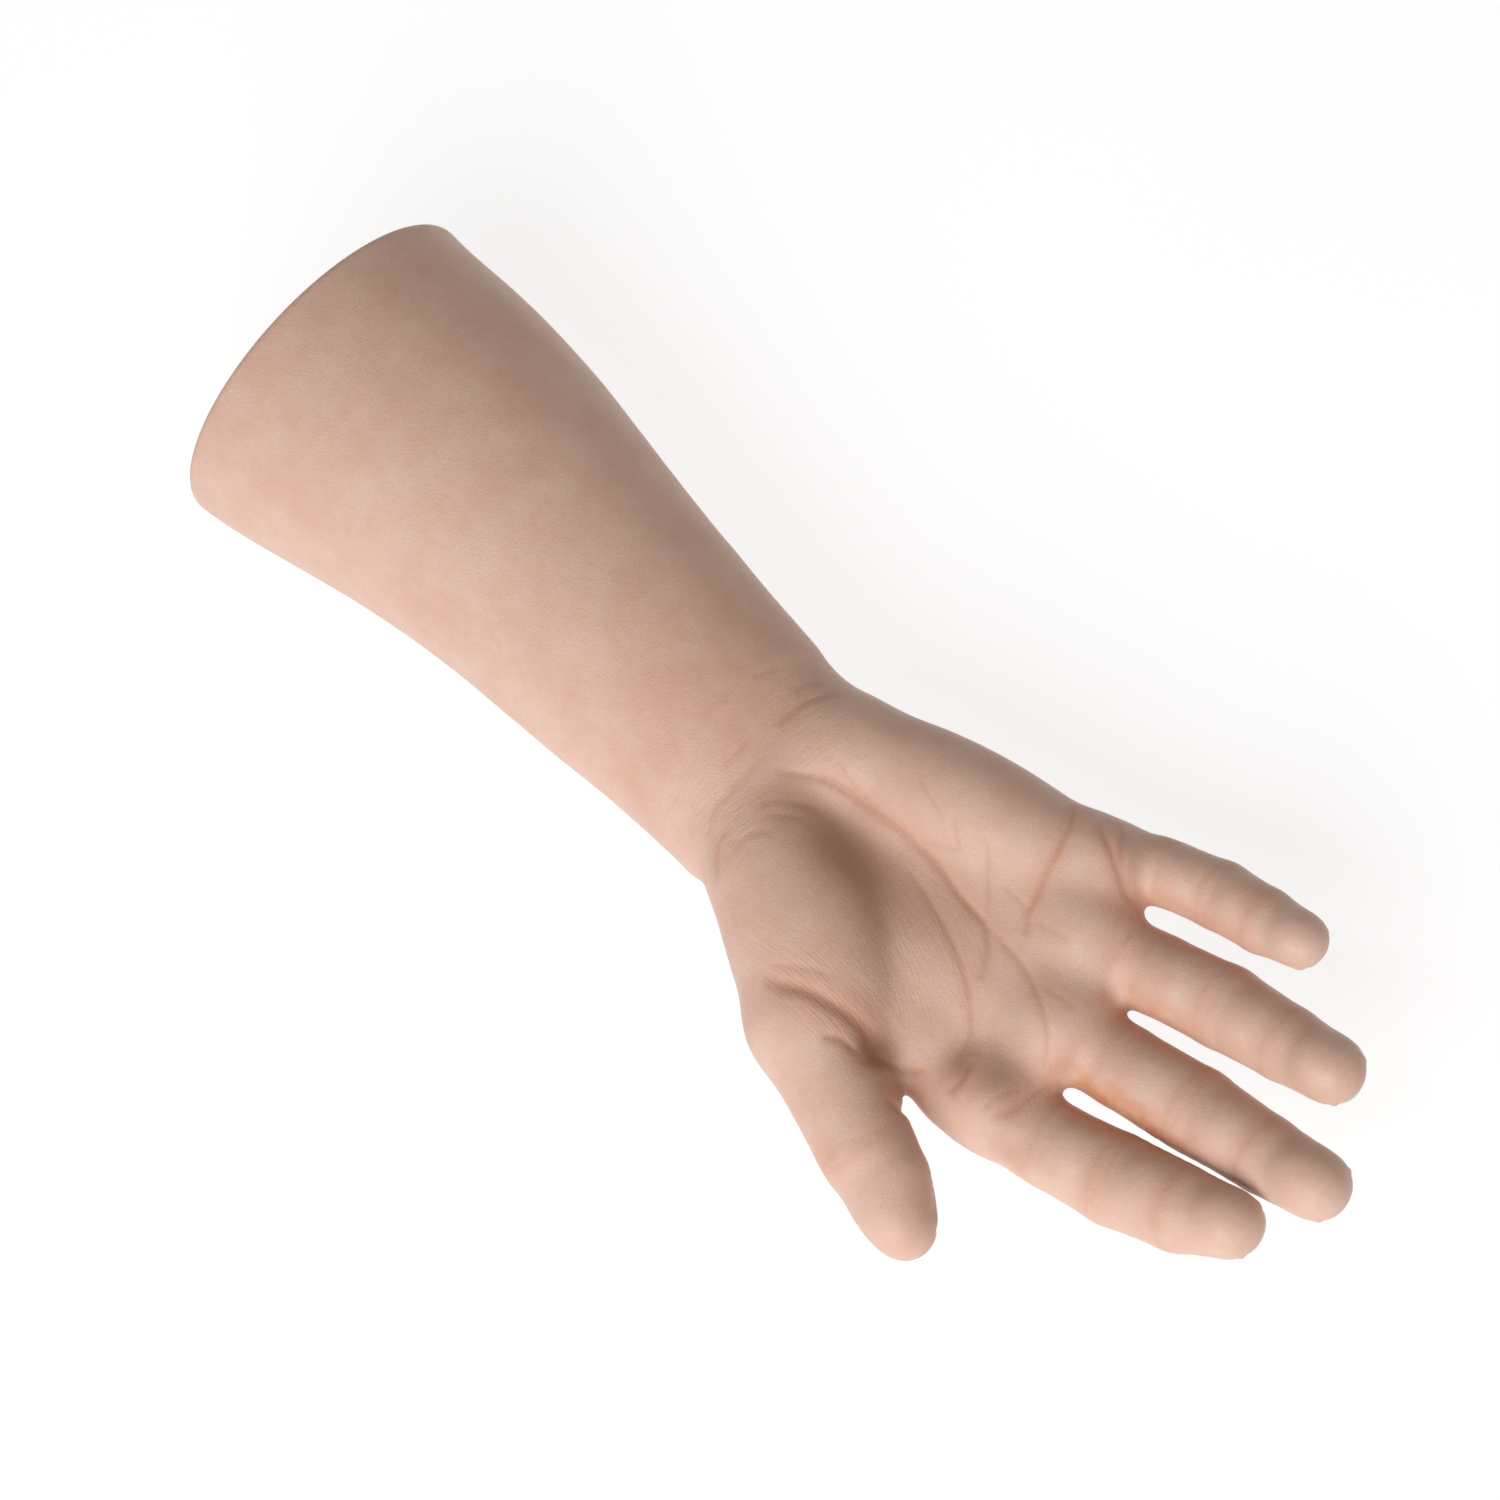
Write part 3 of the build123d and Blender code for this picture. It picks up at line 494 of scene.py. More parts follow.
# Lines of the palm: points in the hand's plane, half width, depth, how warm the colour is
PALM_LINES = (
    (((4, 2), (12, 6), (18, 7.5), (25, 7.5), (32, 7.5), (39, 7), (48, 6), (56, 3.5), (62, 2), (68, 0.5), (72, -4),
      (75, -11)), 1.0, 0.75, 0.8),
    (((43, 1), (53, -2.5), (61, -6), (68, -10), (73, -14), (77, -18.5), (80, -23), (81.5, -31)), 0.8, 0.5, 0.6),
    (((68, 1), (74, -0.5), (82, -2.5), (89, -6), (94, -9.5), (98, -14), (100, -19)), 0.8, 0.35, 0.5),
    (((68, 37), (71, 32.5), (72.5, 26), (73, 21), (74, 15), (75, 9), (78, 4)), 0.9, 0.6, 1.0),
    (((76, 36.5), (82, 33), (86, 30), (90, 27), (93, 25)), 0.9, 0.45, 1.0),
    (((76, 38), (81, 38.5), (84, 35), (87, 31), (90, 28)), 0.8, 0.3, 0.7),
    (((97, 21.5), (99, 17), (101, 12), (103, 8), (105, 4.5)), 0.9, 0.3, 1.0),
    (((107, 1), (107, -5.5), (106, -11), (106, -17)), 0.9, 0.3, 1.0),
    (((105, -20), (102.5, -25), (101, -31), (97, -37)), 0.9, 0.3, 1.0),
    (((94, -37), (96, -31), (99, -26)), 0.7, 0.25, 0.5),
    (((33, -41), (38, -40), (44, -37.5), (50, -36.5), (56, -36), (61, -37), (65, -40), (67, -43)), 1.8, 1.1, 1.0),
    (((33, -37.5), (43, -32.5), (49, -30.5)), 0.7, 0.2, 0.3),
    (((65, -39.5), (69, -40), (73, -39), (76, -36)), 0.9, 0.5, 0.9),
    (((84, -38), (85.5, -34), (84.5, -27.5)), 1.0, 0.4, 1.0),
    (((71, -55), (73, -52.5), (76, -49.5)), 0.8, 0.3, 0.5),
    (((54, -44.5), (58, -42), (63, -42.5)), 0.9, 0.5, 0.7),
    (((15, 13), (21, 10), (26, 9), (30, 9)), 0.7, 0.15, 0.3),
    (((34, 20.5), (41, 17.5), (46, 15.5)), 0.7, 0.12, 0.3),
    (((47, 18), (50, 14), (53, 12)), 0.7, 0.12, 0.3),
    (((56, 18), (59, 15), (62, 10), (65, 6), (67, 1)), 0.7, 0.2, 0.4),
    (((42, 8), (47, 9.5), (53, 12)), 0.7, 0.12, 0.3),
    (((66, 11), (71, 10), (75, 9)), 0.7, 0.12, 0.3),
    (((77, 8), (84, 8.5), (88, 9)), 0.7, 0.12, 0.3),
    (((87, -4), (93, -3.5), (99, -3.5)), 0.7, 0.12, 0.3),
    (((5, 28), (1.5, 24), (-1, 20), (-2, 15), (-2.5, 11)), 0.9, 0.4, 0.7),
    (((-1, 27), (-4, 24), (-5, 20)), 0.8, 0.2, 0.5),
    (((-12, 24), (-13.5, 19), (-17.5, 15.5), (-21, 15)), 0.9, 0.2, 0.4),
    (((-7, -6), (-6, 1), (-5.5, 6)), 0.8, 0.15, 0.5),
    (((-1, -21), (-3, -15), (-2, -8), (-1, -1), (0.5, 4.5)), 0.8, 0.2, 0.4),
    (((8, -29), (3, -21.5), (3, -15)), 0.8, 0.2, 0.3),
    (((7, -20), (9.5, -14), (14, -10.5)), 0.8, 0.2, 0.3),
    (((6, -9), (8, -5), (12, -2), (16, -0.5), (19, 0.5)), 0.8, 0.2, 0.4),
    (((9, -9), (12.5, -6), (17, -3.5)), 0.8, 0.2, 0.3),
)


def groove(d, width, depth):
    """A crease with soft shoulders."""
    return -depth * (0.7 * bell(d, width) + 0.3 * bell(d, width * 2.6))


def relief(points, normals, fingers, owner):
    """Offset along the normal, and the masks that the skin's colour reads."""
    h = in_hand(points)
    palmar = ramp(normals[:, 2], 0.05, 0.4)
    offset, warm, crease = (np.zeros(len(points)) for _ in range(3))
    near = (h[:, 0] > -15) & (palmar > 0) & (owner == 0)
    rows = np.flatnonzero(near)
    for line, width, depth, heat in PALM_LINES:
        d, share = line_place(h[rows, :2], flowing(line))
        taper = np.sqrt(np.clip(np.minimum(share, 1 - share) * 5, 0, 1)) * palmar[rows]
        offset[rows] += groove(d, width, depth) * taper
        # crease colour: the line's own reddish-brown tone plus painted shade in the groove, darker for deeper grooves
        crease[rows] = np.maximum(crease[rows], bell(d, width * 0.8) * taper * min(1.0, 0.3 + depth * 0.8))
        warm[rows] = np.maximum(warm[rows], bell(d, width * 3.2) * taper * heat * 0.6)
    for number, (name, f) in enumerate(fingers.items(), 1):
        finger_relief(points, normals, f, owner == number, offset, warm, crease)
    thumb_relief(points, normals, owner == 5, offset, warm, crease)
    return offset, warm, crease


def joint_creases(points, normals, centre, way, pad, side, rows, lines, fold, offset, warm, crease):
    """Palm-side creases at a joint and back-side wrinkles, for the rows near it."""
    h = (points[rows] - centre) @ way
    s = (points[rows] - centre) @ side
    facing = normals[rows] @ pad
    front, back = ramp(facing, -0.15, 0.5), ramp(-facing, 0.1, 0.7)
    for place, width, depth in lines:
        d = h - place - 0.5 * np.sin(s * 0.35 + place)
        offset[rows] += groove(d, width, depth) * front
        crease[rows] = np.maximum(crease[rows], bell(d, width * 0.8) * front * min(1.0, 0.15 + depth))
    warm[rows] = np.maximum(warm[rows], bell(h, 4.0) * (0.35 * front + 0.5 * back))
    arc = h + np.sign(h) * 0.02 * s ** 2
    offset[rows] += fold * np.sin(arc * 2.9) * bell(h, 4.5) * bell(s, 6.5) * back


def finger_relief(points, normals, f, mine, offset, warm, crease):
    rows = np.flatnonzero(mine)
    k, m, e, t = f["points"]
    side = -f["axis"]
    facing = normals[rows] @ side
    near_palm = 1 - ramp((points[rows] - k) @ f["ways"][0], 18, 48)
    # painted warm shade and bounce light on the flanks facing the neighbouring fingers, fading away from the palm
    flank_bounce_shade = f["flank_bounce_shade"][0] * ramp(-facing, 0.3, 0.95) + f["flank_bounce_shade"][1] * ramp(facing, 0.3, 0.95)
    warm[rows] = np.maximum(warm[rows], flank_bounce_shade * near_palm)
    args = (side, rows)
    joint_creases(points, normals, k, f["ways"][0], f["pads"][0], *args, ((2.5, 1.2, 0.06),), 0, offset, warm, crease)
    joint_creases(points, normals, m, unit(f["ways"][0] + f["ways"][1]), f["pads"][1], *args,
                  ((-1.6, 0.9, 0.06), (1.4, 0.9, 0.08)), 0.3, offset, warm, crease)
    joint_creases(points, normals, e, unit(f["ways"][1] + f["ways"][2]), f["pads"][2], *args,
                  ((0.0, 0.9, 0.06),), 0.16, offset, warm, crease)
    nail_bed(points, normals, rows, t, f["ways"][2], f["pads"][2], side, f["nail"], offset, warm)


def thumb_relief(points, normals, mine, offset, warm, crease):
    rows = np.flatnonzero(mine)
    joint_creases(points, normals, THUMB_HINGE, THUMB_WAY, THUMB_PAD, THUMB_AXIS, rows,
                  ((-1.0, 0.9, 0.08), (1.6, 0.9, 0.06)), 0.3, offset, warm, crease)
    nail_bed(points, normals, rows, THUMB_TIP, THUMB_WAY, THUMB_PAD, THUMB_AXIS, THUMB_NAIL, offset, warm)


def nail_place(p, tip, way, side, nail):
    """Place on a nail: 0 at its root to 1 at its free edge, and -1 to 1 across."""
    length, width = nail
    return ((p - tip) @ way + length + NAIL_SETBACK) / length, (p - tip) @ side / (width / 2)


def nail_bed(points, normals, rows, tip, way, pad, side, nail, offset, warm):
    v, u = nail_place(points[rows], tip, way, side, nail)
    back = ramp(-(normals[rows] @ pad), 0.0, 0.5)
    rim = np.maximum(np.abs(u) ** 3, np.where(v < 0.5, np.abs(2 * v - 1) ** 3, 0))
    offset[rows] += (0.45 * bell(rim - 1.45, 0.38) - 0.5 * ramp(-rim, -1.0, -0.75)) * back * ramp(-v, -1.1, -0.9)
    warm[rows] = np.maximum(warm[rows], 0.35 * bell(rim - 1.3, 0.7) * back)


# ---- Sharing the mesh out ----
def nearest_digit(points, fingers):
    """0 for palm and forearm, 1 to 4 for the fingers beyond their knuckles, 5 for the thumb's free end."""
    best = np.full(len(points), 3.5)
    owner = np.zeros(len(points), int)
    parts = (points[:, 0], points[:, 1], points[:, 2])
    for number, f in enumerate(fingers.values(), 1):
        near = np.min([s[0](parts) for s in digit_shapes(f["points"], f["ways"], f["pads"], f["radii"])], 0)
        beyond = (points - f["points"][0]) @ f["ways"][0] > -3
        mine = beyond & (near < best)
        best[mine] = near[mine]
        owner[mine] = number
    _, tip = thumb_shapes()
    near = np.min([s[0](parts) for s in tip], 0)
    h = in_hand(points)
    free = (h[:, :2] @ THUMB_SPLIT_WAY > THUMB_SPLIT - 12) & (h[:, 1] < THUMB_SIDE) & (near < best)
    owner[free] = 5
    return owner


def piece(name, quads, skin, lip=None):
    """A piece of the skin's mesh with its masks and the whole skin's normals."""
    used, inverse = np.unique(quads, return_inverse=True)
    points = skin["points"][used].copy()
    if lip is not None:
        points -= skin["normals"][used] * lip[used][:, None]
    mesh = bpy.data.meshes.new(name)
    mesh.from_pydata((points * MM).tolist(), [], inverse.reshape(-1, 4).tolist())
    mesh.shade_smooth()
    mesh.normals_split_custom_set_from_vertices(skin["normals"][used].tolist())
    rest = mesh.attributes.new("rest_place", "FLOAT_VECTOR", "POINT")
    rest.data.foreach_set("vector", (skin["rest"][used]).astype(np.float32).ravel())
    for mask in ("warm", "crease", "dusk", "streak"):
        mesh.attributes.new(mask, "FLOAT", "POINT").data.foreach_set("value", skin[mask][used].astype(np.float32))
    grain = mesh.attributes.new("grain", "FLOAT_VECTOR", "POINT")
    grain.data.foreach_set("vector", skin["grain"][used].astype(np.float32).ravel())
    mesh.materials.append(skin["material"])
    obj = bpy.data.objects.new(name, mesh)
    bpy.context.scene.collection.objects.link(obj)
    return obj


def blend(obj):
    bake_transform(obj)


def share_out(skin, fingers):
    points, quads = skin["points"], skin["quads"]
    centre = skin["rest"][quads].mean(1)
    h = in_hand(centre)
    owner = nearest_digit(centre, fingers)
    left = np.ones(len(quads), bool)

    def take(mask):
        chosen = left & mask
        left[chosen] = False
        return quads[chosen]

    for number, (name, f) in enumerate(fingers.items(), 1):
        k, m = f["points"][:2]
        spec, way = FINGERS[name], f["ways"][0]
        out = (centre - k) @ way
        split = (spec["bend"] + np.linalg.norm(m - k) - JOINT_ZONE) / 2
        tip = piece(f"{name}_tip_skin", take((owner == number) & (out > split)), skin)
        middle_way = unit(f["ways"][0] + f["ways"][1])
        blend(tip)
        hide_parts(f"{name}_tip_sleeve")
        root = piece(f"{name}_root_skin", take((owner == number) & (out > spec["web"])), skin)
        blend(root)
        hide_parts(f"{name}_proximal_sleeve")
        if spec["drift"][0] > 1:       # the flesh lies beside this link, which would come through it when bent
            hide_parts(f"{name}_proximal_link")

    advance = h[:, :2] @ THUMB_SPLIT_WAY
    is_tip = (owner == 5) & (advance > THUMB_SPLIT)
    under = quads[(owner == 5) & (advance > THUMB_SPLIT - 3.5) & ~is_tip]
    h_points = in_hand(skin["rest"])[:, :2] @ THUMB_SPLIT_WAY
    lip = 0.4 * ramp(THUMB_SPLIT - h_points, 0.2, 1.6)
    tip = piece("thumb_tip_skin", np.vstack((take(is_tip), under)), skin, lip)
    way = HAND_X * THUMB_SPLIT_WAY[0] + HAND_Y * THUMB_SPLIT_WAY[1]
    blend(tip)
    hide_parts("thumb_tip_sleeve")
    flap = quads[is_tip & (advance < THUMB_SPLIT + 4) & (h[:, 1] > SWING_START - 4.5)]
    lip = 0.6 * ramp(h_points - THUMB_SPLIT, 0.1, 1.5)
    root = take((h[:, 1] < SWING_START + 0.2) & (h[:, 0] > 5))
    root = piece("thumb_root_skin", np.vstack((root, flap)), skin, lip)
    blend(root)
    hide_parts("thumb_proximal_sleeve")

    split = joint_place("wrist_rotation")[0] + 4
    palm = piece("palm_skin_outer", take(centre[:, 0] > split), skin)
    blend(palm)
    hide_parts("palm_skin", "palm_filler", "thenar_pad")
    arm = piece("forearm_skin_outer", take(centre[:, 0] > -99), skin)
    blend(arm)
    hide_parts("forearm_skin")


def nail_piece(name, tip, way, pad, side, nail, field, body, material):
    """A curved plate laid on the skin, thin at its root and standing free at its end."""
    across, rows = 17, 19
    v, u = np.meshgrid(np.linspace(-0.02, 1.0, rows), np.linspace(-0.98, 0.98, across), indexing="ij")
    length, width = nail
    base = tip + way * ((v * length - length - NAIL_SETBACK)[..., None]) + side * ((u * width / 2)[..., None])
    flat = base.reshape(-1, 3)
    depth = np.zeros(len(flat))
    for _ in range(24):
        depth += np.clip(sample(field, flat - pad * (14 - depth)[:, None]), -1, 2)
    depth = depth.reshape(rows, across)
    for j in range(across):
        keep = v[:, j] < 0.8
        line = np.polyfit(v[keep, j], depth[keep, j], 2)
        depth[:, j] = np.where(v[:, j] > 0.8, np.polyval(line, v[:, j]), depth[:, j])
    surface = base - pad * ((14 - depth)[..., None])
    rise = 0.42 * ramp(v, -0.05, 0.15) * (1 - 0.75 * np.abs(u) ** 4) - 0.12
    top = surface - pad * rise[..., None]
    tip_round = 0.10 * np.abs(u) ** 2.5 * ramp(v, 0.7, 1.1)
    top -= way * (tip_round * length)[..., None]
    tail = ramp(v, 0.7, 0.98)[..., None]
    bottom = top + pad * (0.6 + 1.5 * tail) - way * (1.1 * tail)
    points = np.vstack((top.reshape(-1, 3), bottom.reshape(-1, 3)))
    n = rows * across
    at = np.arange(n).reshape(rows, across)
    a, b, c, d = at[:-1, :-1].ravel(), at[:-1, 1:].ravel(), at[1:, 1:].ravel(), at[1:, :-1].ravel()
    faces = np.vstack((np.stack((a, b, c, d), 1), np.stack((d, c, b, a), 1) + n))
    loop = np.concatenate((at[0, :], at[1:, -1], at[-1, -2::-1], at[-2:0:-1, 0]))
    nxt = np.roll(loop, -1)
    faces = np.vstack((faces, np.stack((loop, loop + n, nxt + n, nxt), 1)))
    mesh = bpy.data.meshes.new(name)
    mesh.from_pydata((points * MM).tolist(), [], faces.tolist())
    mesh.shade_smooth()
    rest = mesh.attributes.new("rest_place", "FLOAT_VECTOR", "POINT")
    rest.data.foreach_set("vector", points.astype(np.float32).ravel())
    along_nail = np.concatenate((v.ravel(), v.ravel())).astype(np.float32)
    mesh.attributes.new("along_nail", "FLOAT", "POINT").data.foreach_set("value", along_nail)
    mesh.materials.append(material)
    obj = bpy.data.objects.new(name, mesh)
    bpy.context.scene.collection.objects.link(obj)
    mesh.validate()
    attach(obj, body)
    return obj


# ---- Materials ----
def new_material(name):
    m = bpy.data.materials.new(name)
    m.use_nodes = True
    tree = m.node_tree
    tree.nodes.clear()
    output = tree.nodes.new("ShaderNodeOutputMaterial")
    shader = tree.nodes.new("ShaderNodeBsdfPrincipled")
    tree.links.new(shader.outputs["BSDF"], output.inputs["Surface"])
    return m, tree, shader


def attribute(tree, name):
    node = tree.nodes.new("ShaderNodeAttribute")
    node.attribute_name = name
    return node


def noise(tree, vector, scale, detail=3.0, rough=0.5):
    node = tree.nodes.new("ShaderNodeTexNoise")
    node.inputs["Scale"].default_value = scale
    node.inputs["Detail"].default_value = detail
    node.inputs["Roughness"].default_value = rough
    tree.links.new(vector, node.inputs["Vector"])
    return node.outputs["Fac"]


def mapped(tree, value, low, high, to_low=0.0, to_high=1.0):
    node = tree.nodes.new("ShaderNodeMapRange")
    for name, number in (("From Min", low), ("From Max", high), ("To Min", to_low), ("To Max", to_high)):
        node.inputs[name].default_value = number
    tree.links.new(value, node.inputs["Value"])
    return node.outputs["Result"]


def math_node(tree, kind, a, b):
    node = tree.nodes.new("ShaderNodeMath")
    node.operation = kind
    for socket, value in zip(node.inputs, (a, b)):
        if isinstance(value, (int, float)):
            socket.default_value = value
        else:
            tree.links.new(value, socket)
    return node.outputs["Value"]


def mixed(tree, share, a, b, kind="MIX"):
    node = tree.nodes.new("ShaderNodeMix")
    node.data_type = "RGBA"
    node.blend_type = kind
    tree.links.new(share, node.inputs[0])
    for socket, value in ((node.inputs[6], a), (node.inputs[7], b)):
        if isinstance(value, tuple):
            socket.default_value = (*value, 1)
        else:
            tree.links.new(value, socket)
    return node.outputs[2]


def bumped(tree, shader, height, distance, strength=1.0):
    node = tree.nodes.new("ShaderNodeBump")
    node.inputs["Strength"].default_value = strength
    node.inputs["Distance"].default_value = distance
    tree.links.new(height, node.inputs["Height"])
    tree.links.new(node.outputs["Normal"], shader.inputs["Normal"])


def silicone():
    m, tree, shader = new_material("silicone skin")
    place = attribute(tree, "rest_place").outputs["Vector"]
    grain = attribute(tree, "grain").outputs["Vector"]
    warm, crease, dusk, streak = (attribute(tree, n).outputs["Fac"] for n in ("warm", "crease", "dusk", "streak"))
    patches = mapped(tree, noise(tree, place, 0.09, 4.0, 0.6), 0.35, 0.65)
    colour = mixed(tree, patches, (0.680, 0.477, 0.390), (0.640, 0.420, 0.330))
    flecks = mapped(tree, noise(tree, place, 0.55, 4.0, 0.6), 0.35, 0.75, 0.0, 0.28)
    colour = mixed(tree, flecks, colour, (0.640, 0.360, 0.260))
    warm = math_node(tree, "MULTIPLY", warm, mapped(tree, noise(tree, place, 0.22, 4.0, 0.6), 0.35, 0.65, 0.45, 1.15))
    # warm tone: the skin's own redness at the knuckles, nail rims, palm lines and wrist, and painted warm shade and
    # bounce light at the webs, the thumb's fold and the finger flanks
    colour = mixed(tree, math_node(tree, "MULTIPLY", warm, 0.62), colour, (0.600, 0.270, 0.145))
    # painted shade: a dark brown mixed in where the painted-shade mask lies, on the thenar's slope and in the valleys
    # beside it
    colour = mixed(tree, math_node(tree, "MULTIPLY", dusk, 0.8), colour, (0.370, 0.205, 0.145))
    # crease lines: their own reddish-brown tone plus painted shade in the grooves
    colour = mixed(tree, math_node(tree, "MULTIPLY", crease, 0.42), colour, (0.380, 0.160, 0.090))
    tree.links.new(colour, shader.inputs["Base Color"])
    tree.links.new(mapped(tree, noise(tree, place, 0.4, 3.0), 0.3, 0.7, 0.46, 0.56), shader.inputs["Roughness"])
    cells = tree.nodes.new("ShaderNodeTexVoronoi")
    cells.feature = "DISTANCE_TO_EDGE"
    cells.inputs["Scale"].default_value = 0.95
    tree.links.new(place, cells.inputs["Vector"])
    fine = mapped(tree, cells.outputs["Distance"], 0.0, 0.25, 0.0, 0.35)
    rough = mapped(tree, noise(tree, place, 1.6, 2.0), 0.3, 0.7, 0.0, 0.4)
    lines = mapped(tree, noise(tree, grain, 1.0, 2.0), 0.35, 0.65, 0.0, 1.0)
    height = math_node(tree, "ADD", math_node(tree, "ADD", fine, rough), math_node(tree, "MULTIPLY", lines, streak))
    bumped(tree, shader, height, 0.00007)
    shader.inputs["Subsurface Weight"].default_value = 0.22
    shader.inputs["Subsurface Radius"].default_value = (1.0, 0.38, 0.2)
    shader.inputs["Subsurface Scale"].default_value = 0.0022
    shader.inputs["Specular IOR Level"].default_value = 0.42
    return m


def nail_acrylic():
    m, tree, shader = new_material("nail acrylic")
    place = attribute(tree, "rest_place").outputs["Vector"]
    v = attribute(tree, "along_nail").outputs["Fac"]
    free = mapped(tree, v, 0.93, 1.0)
    moon = mapped(tree, v, 0.22, 0.05)
    bed = mixed(tree, noise(tree, place, 0.5, 3.0), (0.72, 0.42, 0.35), (0.66, 0.36, 0.29))
    colour = mixed(tree, math_node(tree, "MULTIPLY", moon, 0.5), bed, (0.80, 0.66, 0.60))
    colour = mixed(tree, free, colour, (0.82, 0.76, 0.68))
    tree.links.new(colour, shader.inputs["Base Color"])
    tree.links.new(mapped(tree, noise(tree, place, 0.9, 2.0), 0.3, 0.7, 0.26, 0.34), shader.inputs["Roughness"])
    shader.inputs["Coat Weight"].default_value = 0.25
    shader.inputs["Subsurface Weight"].default_value = 0.1
    shader.inputs["Subsurface Radius"].default_value = (1.0, 0.4, 0.25)
    shader.inputs["Subsurface Scale"].default_value = 0.002
    return m


def stock(name, dark, light, scale, rough, metal, bump, detail=4.0, stretch=(1, 1, 1)):
    """A procedural material for the parts inside, varied in colour and roughness by noise."""
    m, tree, shader = new_material(name)
    coordinates = tree.nodes.new("ShaderNodeTexCoord").outputs["Object"]
    mapping = tree.nodes.new("ShaderNodeMapping")
    mapping.inputs["Scale"].default_value = stretch
    tree.links.new(coordinates, mapping.inputs["Vector"])
    grain = noise(tree, mapping.outputs["Vector"], scale, detail)
    tree.links.new(mixed(tree, mapped(tree, grain, 0.3, 0.7), dark, light), shader.inputs["Base Color"])
    tree.links.new(mapped(tree, grain, 0.3, 0.7, rough[0], rough[1]), shader.inputs["Roughness"])
    bumped(tree, shader, grain, bump)
    shader.inputs["Metallic"].default_value = metal
    return m


def dress_inside():
    """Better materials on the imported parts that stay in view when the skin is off."""
    finishes = {
        "laminate": stock("laminate", (0.40, 0.25, 0.16), (0.50, 0.33, 0.22), 90, (0.18, 0.32), 0.0, 0.0002),
        "liner_gel": stock("liner gel", (0.68, 0.60, 0.50), (0.76, 0.69, 0.60), 140, (0.5, 0.65), 0.0, 0.0001),
        "foam": stock("foam", (0.66, 0.62, 0.52), (0.78, 0.74, 0.64), 700, (0.8, 0.95), 0.0, 0.0006),
        "aluminium": stock("aluminium", (0.60, 0.61, 0.63), (0.72, 0.73, 0.75), 400, (0.28, 0.42), 1.0, 0.00003,
                           3.0, (1, 1, 12)),
        "steel": stock("steel", (0.46, 0.46, 0.47), (0.58, 0.58, 0.59), 500, (0.2, 0.34), 1.0, 0.00002, 3.0, (12, 1, 1)),
        "bronze": stock("bronze", (0.45, 0.27, 0.11), (0.58, 0.37, 0.17), 350, (0.3, 0.45), 1.0, 0.00003),
    }
    slots = {n: m["slot"] for m in frame["record"]["materials"] for n in m.get("nodes", [])}
    for node, obj in frame["nodes"].items():
        slot = slots.get(node) or slot_of(node)
        if slot in finishes and not obj.hide_render:
            obj.data.materials.clear()
            obj.data.materials.append(finishes[slot])


def slot_of(node):
    """The record's slot of a node, by the name of the material it was packed with."""
    packed = frame["nodes"][node].data.materials
    names = [m["slot"] for m in frame["record"]["materials"]]
    found = [n for n in names for p in packed if p and p.name.split(".")[0] == n]
    return found[0] if found else None


# ---- Build ----
fingers = {name: finger_frame(name) for name in FINGERS}

field = build_field(fingers)
rest_points, skin_quads = mesh_field(field)
first_normals = vertex_normals(rest_points, skin_quads)
owners = nearest_digit(rest_points, fingers)
shift, warm_tone_and_shade_mask, crease_tone_and_shade_mask = relief(rest_points, first_normals, fingers, owners)
moved = rest_points + first_normals * shift[:, None]
place_in_hand = in_hand(rest_points)


def web_warmth_and_shade(h):
    """Warm tone at the finger roots, the webs, the fingertips and the thumb's fold, partly painted warm shade in the
    webs and the fold.
    """
    spots = ((106, -19, 7, 1.0), (107, 3.5, 7, 0.9), (95, 25, 7, 0.9), (66, -41, 4.5, 1.3), (75, -44, 7, 0.6),
             (85, -31, 6, 0.6))
    total = np.zeros(len(h))
    for x, y, size, heat in spots:
        total = np.maximum(total, heat * bell(np.hypot(h[:, 0] - x, h[:, 1] - y), size))
    return np.maximum(total, 0.4 * bell(h[:, 0] + 22, 24) * bell(h[:, 1] - 6, 24))


def painted_shade_mask(h, normals):
    """Painted shade: a browner, darker tone on the thenar's slope to the palm and near the wrist, and painted shadow
    in spots at the thumb's fold and the index finger's root.
    """
    slope_shade = bell(h[:, 0] - 38, 30) * bell(h[:, 1] + 2 + 0.16 * (h[:, 0] - 26), 9)
    for x, y, size, depth in ((65, -39.5, 5, 1.1), (83, -30, 5.5, 0.9), (93.5, -27.5, 7, 0.9), (100, -33, 6, 0.7),
                              (103, -39, 6, 0.5)):
        slope_shade = np.maximum(slope_shade, depth * bell(np.hypot(h[:, 0] - x, h[:, 1] - y), size))
    return slope_shade * ramp(normals[:, 2], 0.0, 0.5)


def streak_fields(h):
    """Where fine lines lie, and the coordinates whose first part runs across them."""
    grain = np.stack((h[:, 0] * 1.3, h[:, 1] * 0.12, h[:, 2] * 0.3), 1)
    amount = np.zeros(len(h))
    zones = (
        # centre, size along and across, direction of the lines in degrees
        ((46, -36), (24, 10), -8),
        ((0, -15), (12, 22), 78),
        ((2, 16), (10, 16), 70),
        ((62, -12), (22, 14), -30),
    )
    for (x, y), (size_a, size_b), degrees in zones:
        c, s = math.cos(math.radians(degrees)), math.sin(math.radians(degrees))
        a = (h[:, 0] - x) * c + (h[:, 1] - y) * s
        b = -(h[:, 0] - x) * s + (h[:, 1] - y) * c
        here = bell(a, size_a) * bell(b, size_b)
        stronger = here > amount
        amount[stronger] = here[stronger]
        grain[stronger] = np.stack((b * 1.7 + 0.01 * a * a, a * 0.16, h[:, 2] * 0.2), 1)[stronger]
    return amount, grain


